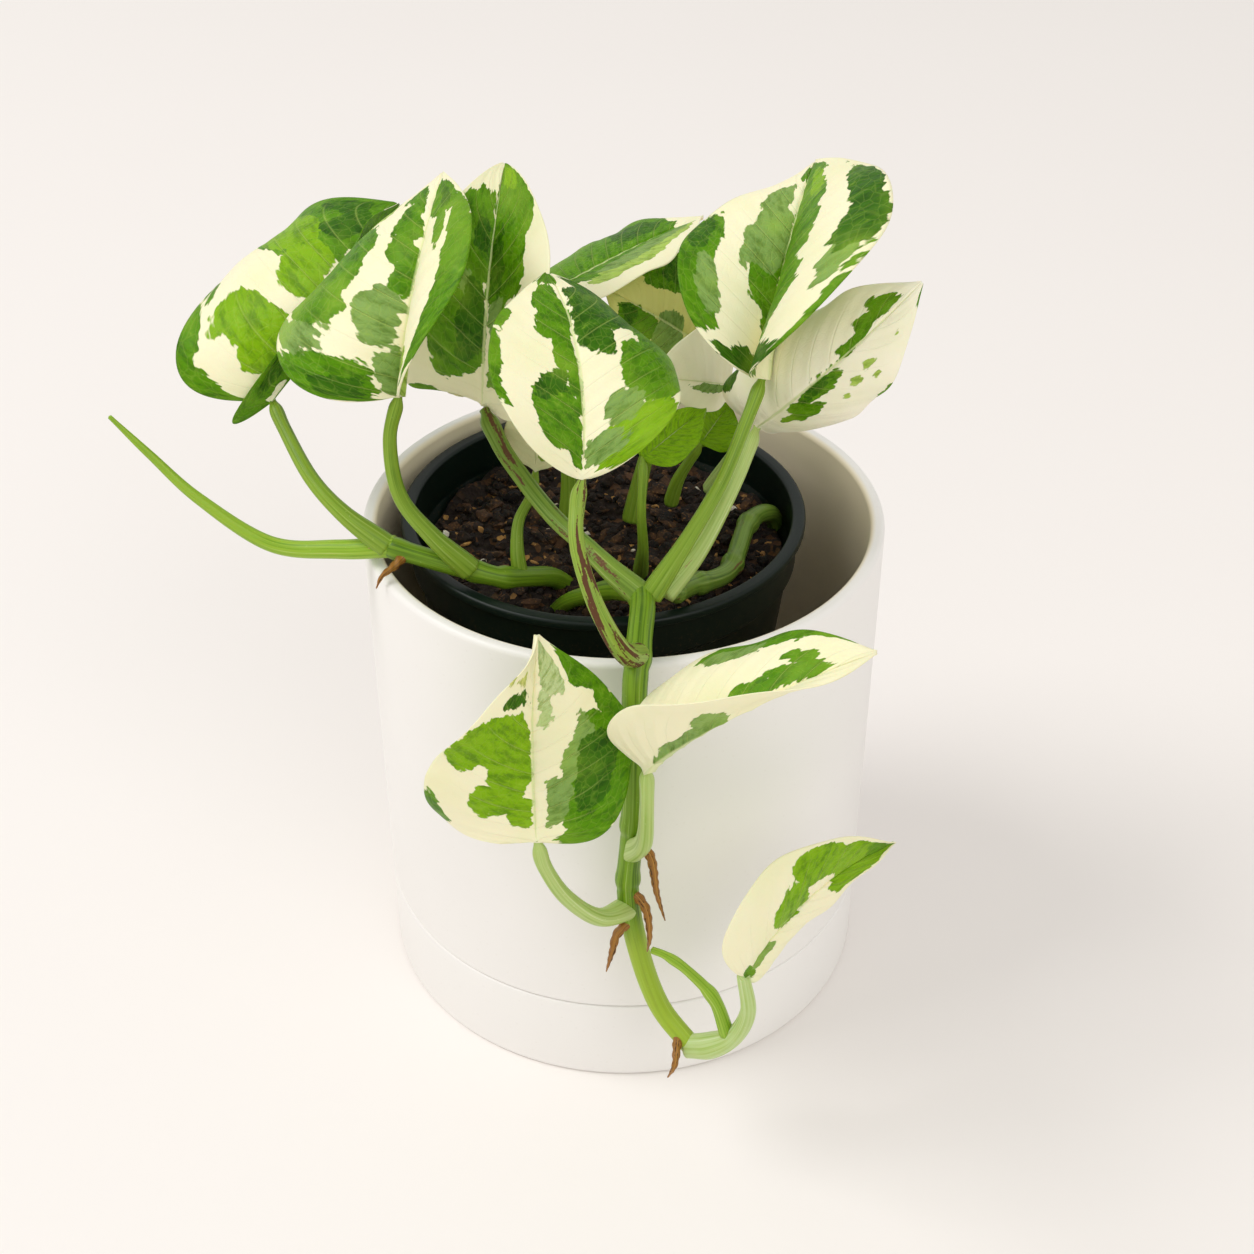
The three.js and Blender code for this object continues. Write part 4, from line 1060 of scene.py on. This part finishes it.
# The three leaves of the hanging vine.
blade("low_left", dict(
    base=(-18.5, -88, 103), tip=(-18, -76, 148.5), face=(0, -0.8, 0.6), arch=8,
    width=(24.5, 22.5), fold=(27, 14), fold_tip=(73, 0), curl=(-70, -40),
    peak=(0.55, 0.9), lobe=(0.07, 0.07), sway=-0.02, twist=-21,
), [
    (BRIGHT, [(-0.52, 0.58, 0.48, 0.13), (-0.24, 0.44, 0.23, 0.12), (-0.34, 0.3, 0.23, 0.075),
              (-0.14, 0.21, 0.12, 0.08)]),
    (GREEN, [(-0.97, 0.22, 0.1, 0.09), (0.86, 0.84, 0.26, 0.1), (0.9, 0.62, 0.16, 0.14),
             (0.7, 0.36, 0.36, 0.24), (0.76, 0.12, 0.28, 0.07), (0.66, 0.56, 0.2, 0.1, 16)]),
    ("#c6d79a", [(0.3, 0.86, 0.2, 0.12), (0.16, 0.72, 0.09, 0.08)]),
    (GREY_GREEN, [(0.5, 0.58, 0.1, 0.1, 20), (0.38, 0.45, 0.1, 0.1, 14), (0.27, 0.27, 0.13, 0.13)]),
    (DARK, [(-0.5, 0.765, 0.25, 0.033), (0.62, 0.42, 0.2, 0.16)]),
    (YELLOW, [(-0.65, 0.85, 0.32, 0.025)]),
], seed=49.0)
blade("low_right", dict(
    base=(5, -84, 120), tip=(49, -98, 161), face=(0, -0.2, 1), arch=69,
    width=(23.5, 14.5), fold=(58, 92), fold_tip=(5, 21), curl=(-75, 32),
    peak=(0.73, 0.67), sway=0.13, twist=-25, point=0.9,
), [
    (GREEN, [(-0.2, 0.79, 0.17, 0.09), (-0.45, 0.8, 0.11, 0.04), (-0.15, 0.67, 0.11, 0.09),
             (-0.9, 0.6, 0.18, 0.18), (-0.96, 0.82, 0.06, 0.12)]),
    (GREY_GREEN, [(-0.74, 0.56, 0.1, 0.1), (0.27, 0.53, 0.28, 0.06), (0.04, 0.48, 0.18, 0.09),
                  (0.05, 0.36, 0.13, 0.09), (0.02, 0.26, 0.09, 0.07)]),
], seed=53.0)
blade("low_tip", dict(
    base=(27, -92, 66), tip=(61.5, -68, 84), face=(0.45, -0.75, 0.5), arch=44,
    width=(19, 10), fold=(52, 0), fold_tip=(46, 0), curl=(-54, -75), peak=(0.6, 0.5),
    lobe=(0.07, 0.07), sway=-0.13, twist=16, point=1.8,
), [
    (BRIGHT, [(0, 0.83, 0.86, 0.16), (-0.6, 0.63, 0.34, 0.15), (-0.28, 0.45, 0.32, 0.08),
              (-0.22, 0.37, 0.25, 0.06), (0.32, 0.68, 0.34, 0.06)]),
    (GREEN, [(-0.3, 0.92, 0.4, 0.06), (0.05, 0.04, 0.3, 0.06)]),
    (GREY_GREEN, [(0.1, 0.18, 0.12, 0.09)]),
], seed=57.0)


# ---- Aerial roots ----------------------------------------------------------------------------
# Dry brown roots that the vines put out at their nodes, short, tapering to a point and a little
# wrinkled along their length.
root_skin = stem_material("root_skin", "#6a4520", "#a0702e", "#c99a4c", "#3d2817", scarred=0.12, seed=20.0)
aerial_roots = {
    "root_long": [(2, -75, 93), (6, -77.5, 89), (7.5, -79.5, 80), (9.5, -79.5, 71)],
    "root_middle": [(1.2, -75, 77), (5, -78, 73.5), (6, -81, 67.5), (5.5, -80, 61.5)],
    "root_left": [(2, -75.5, 68), (-1.5, -79, 66), (-2.5, -81, 63), (-4, -81, 56)],
    "root_tip": [(13, -82, 37), (12.5, -87, 35), (12, -89.5, 33), (10.5, -89, 28.5)],
    "root_side": [(-50, -25.5, 136.5), (-53, -29.5, 135), (-55.5, -32, 134), (-57, -32.5, 131)],
}


def wrinkled(distance, length, angle):
    return (1 + 0.12 * math.sin(distance * 2600 + 2 * angle)) * (1 - 0.75 * (distance / length) ** 3)


for name, route in aerial_roots.items():
    stem(f"aerial_{name}", name, route, (0.0013, 0.0006), root_skin, (0.0015, 0), wrinkled,
         sides=14, step=0.0003)


# ---- Studio ----------------------------------------------------------------------------------
# A plain warm-white floor that runs on behind the plant, a broad soft light from the upper left
# and an even fill, and a camera that looks down on the plant from the front.
FLOOR_REACH = 6
LIT_POINT = (0, 0, 0.1)

floor_paint, tree, shader = new_material("floor_paint", Roughness=0.9)
soft = use_group(tree, clouding, Scale=3, Grain=60)
join(blend(soft["Clouds"], "#f3eeea", "#f5f1ed"),
          shader.inputs["Base Color"])
sheet = bpy.data.meshes.new("floor")
corners = [(x * FLOOR_REACH, y * FLOOR_REACH, 0) for x, y in ((-1, -1), (1, -1), (1, 1), (-1, 1))]
sheet.from_pydata(corners, [], [(0, 1, 2, 3)])
sheet.materials.append(floor_paint)
floor = bpy.data.objects.new("floor", sheet)
bpy.context.scene.collection.objects.link(floor)

world = bpy.data.worlds.new("studio_air")
bpy.context.scene.world = world
world.use_nodes = True
air = world.node_tree.nodes["Background"].inputs
air["Color"].default_value = (1.0, 0.985, 0.966, 1)
air["Strength"].default_value = 0.68


def soft_light(name, place, size, power, colour):
    """A round area light that points at the middle of the plant."""
    lamp = bpy.data.lights.new(name, "AREA")
    lamp.shape, lamp.size, lamp.energy, lamp.color = "DISK", size, power, colour
    light = bpy.data.objects.new(name, lamp)
    light.location = place
    light.rotation_euler = (Vector(LIT_POINT) - Vector(place)).to_track_quat("-Z", "Y").to_euler()
    bpy.context.scene.collection.objects.link(light)


soft_light("window_light", (-1.6, -0.1, 2.2), 1.4, 27, (1, 0.99, 0.985))
soft_light("front_fill", (0.7, -1.3, 1.4), 1.2, 7, (1, 0.985, 0.97))

bpy.context.scene.view_settings.view_transform = "Standard"
eye = Vector((0.00081, -0.39316, 0.37999))
aim = Vector((0.00081, 0, 0.0965))
lens = bpy.data.cameras.new("camera")
lens.lens, lens.sensor_width, lens.clip_start = 54.545, 36, 0.01
camera = bpy.data.objects.new("camera", lens)
camera.location = eye
camera.rotation_euler = (aim - eye).to_track_quat("-Z", "Y").to_euler()
bpy.context.scene.collection.objects.link(camera)
bpy.context.scene.camera = camera
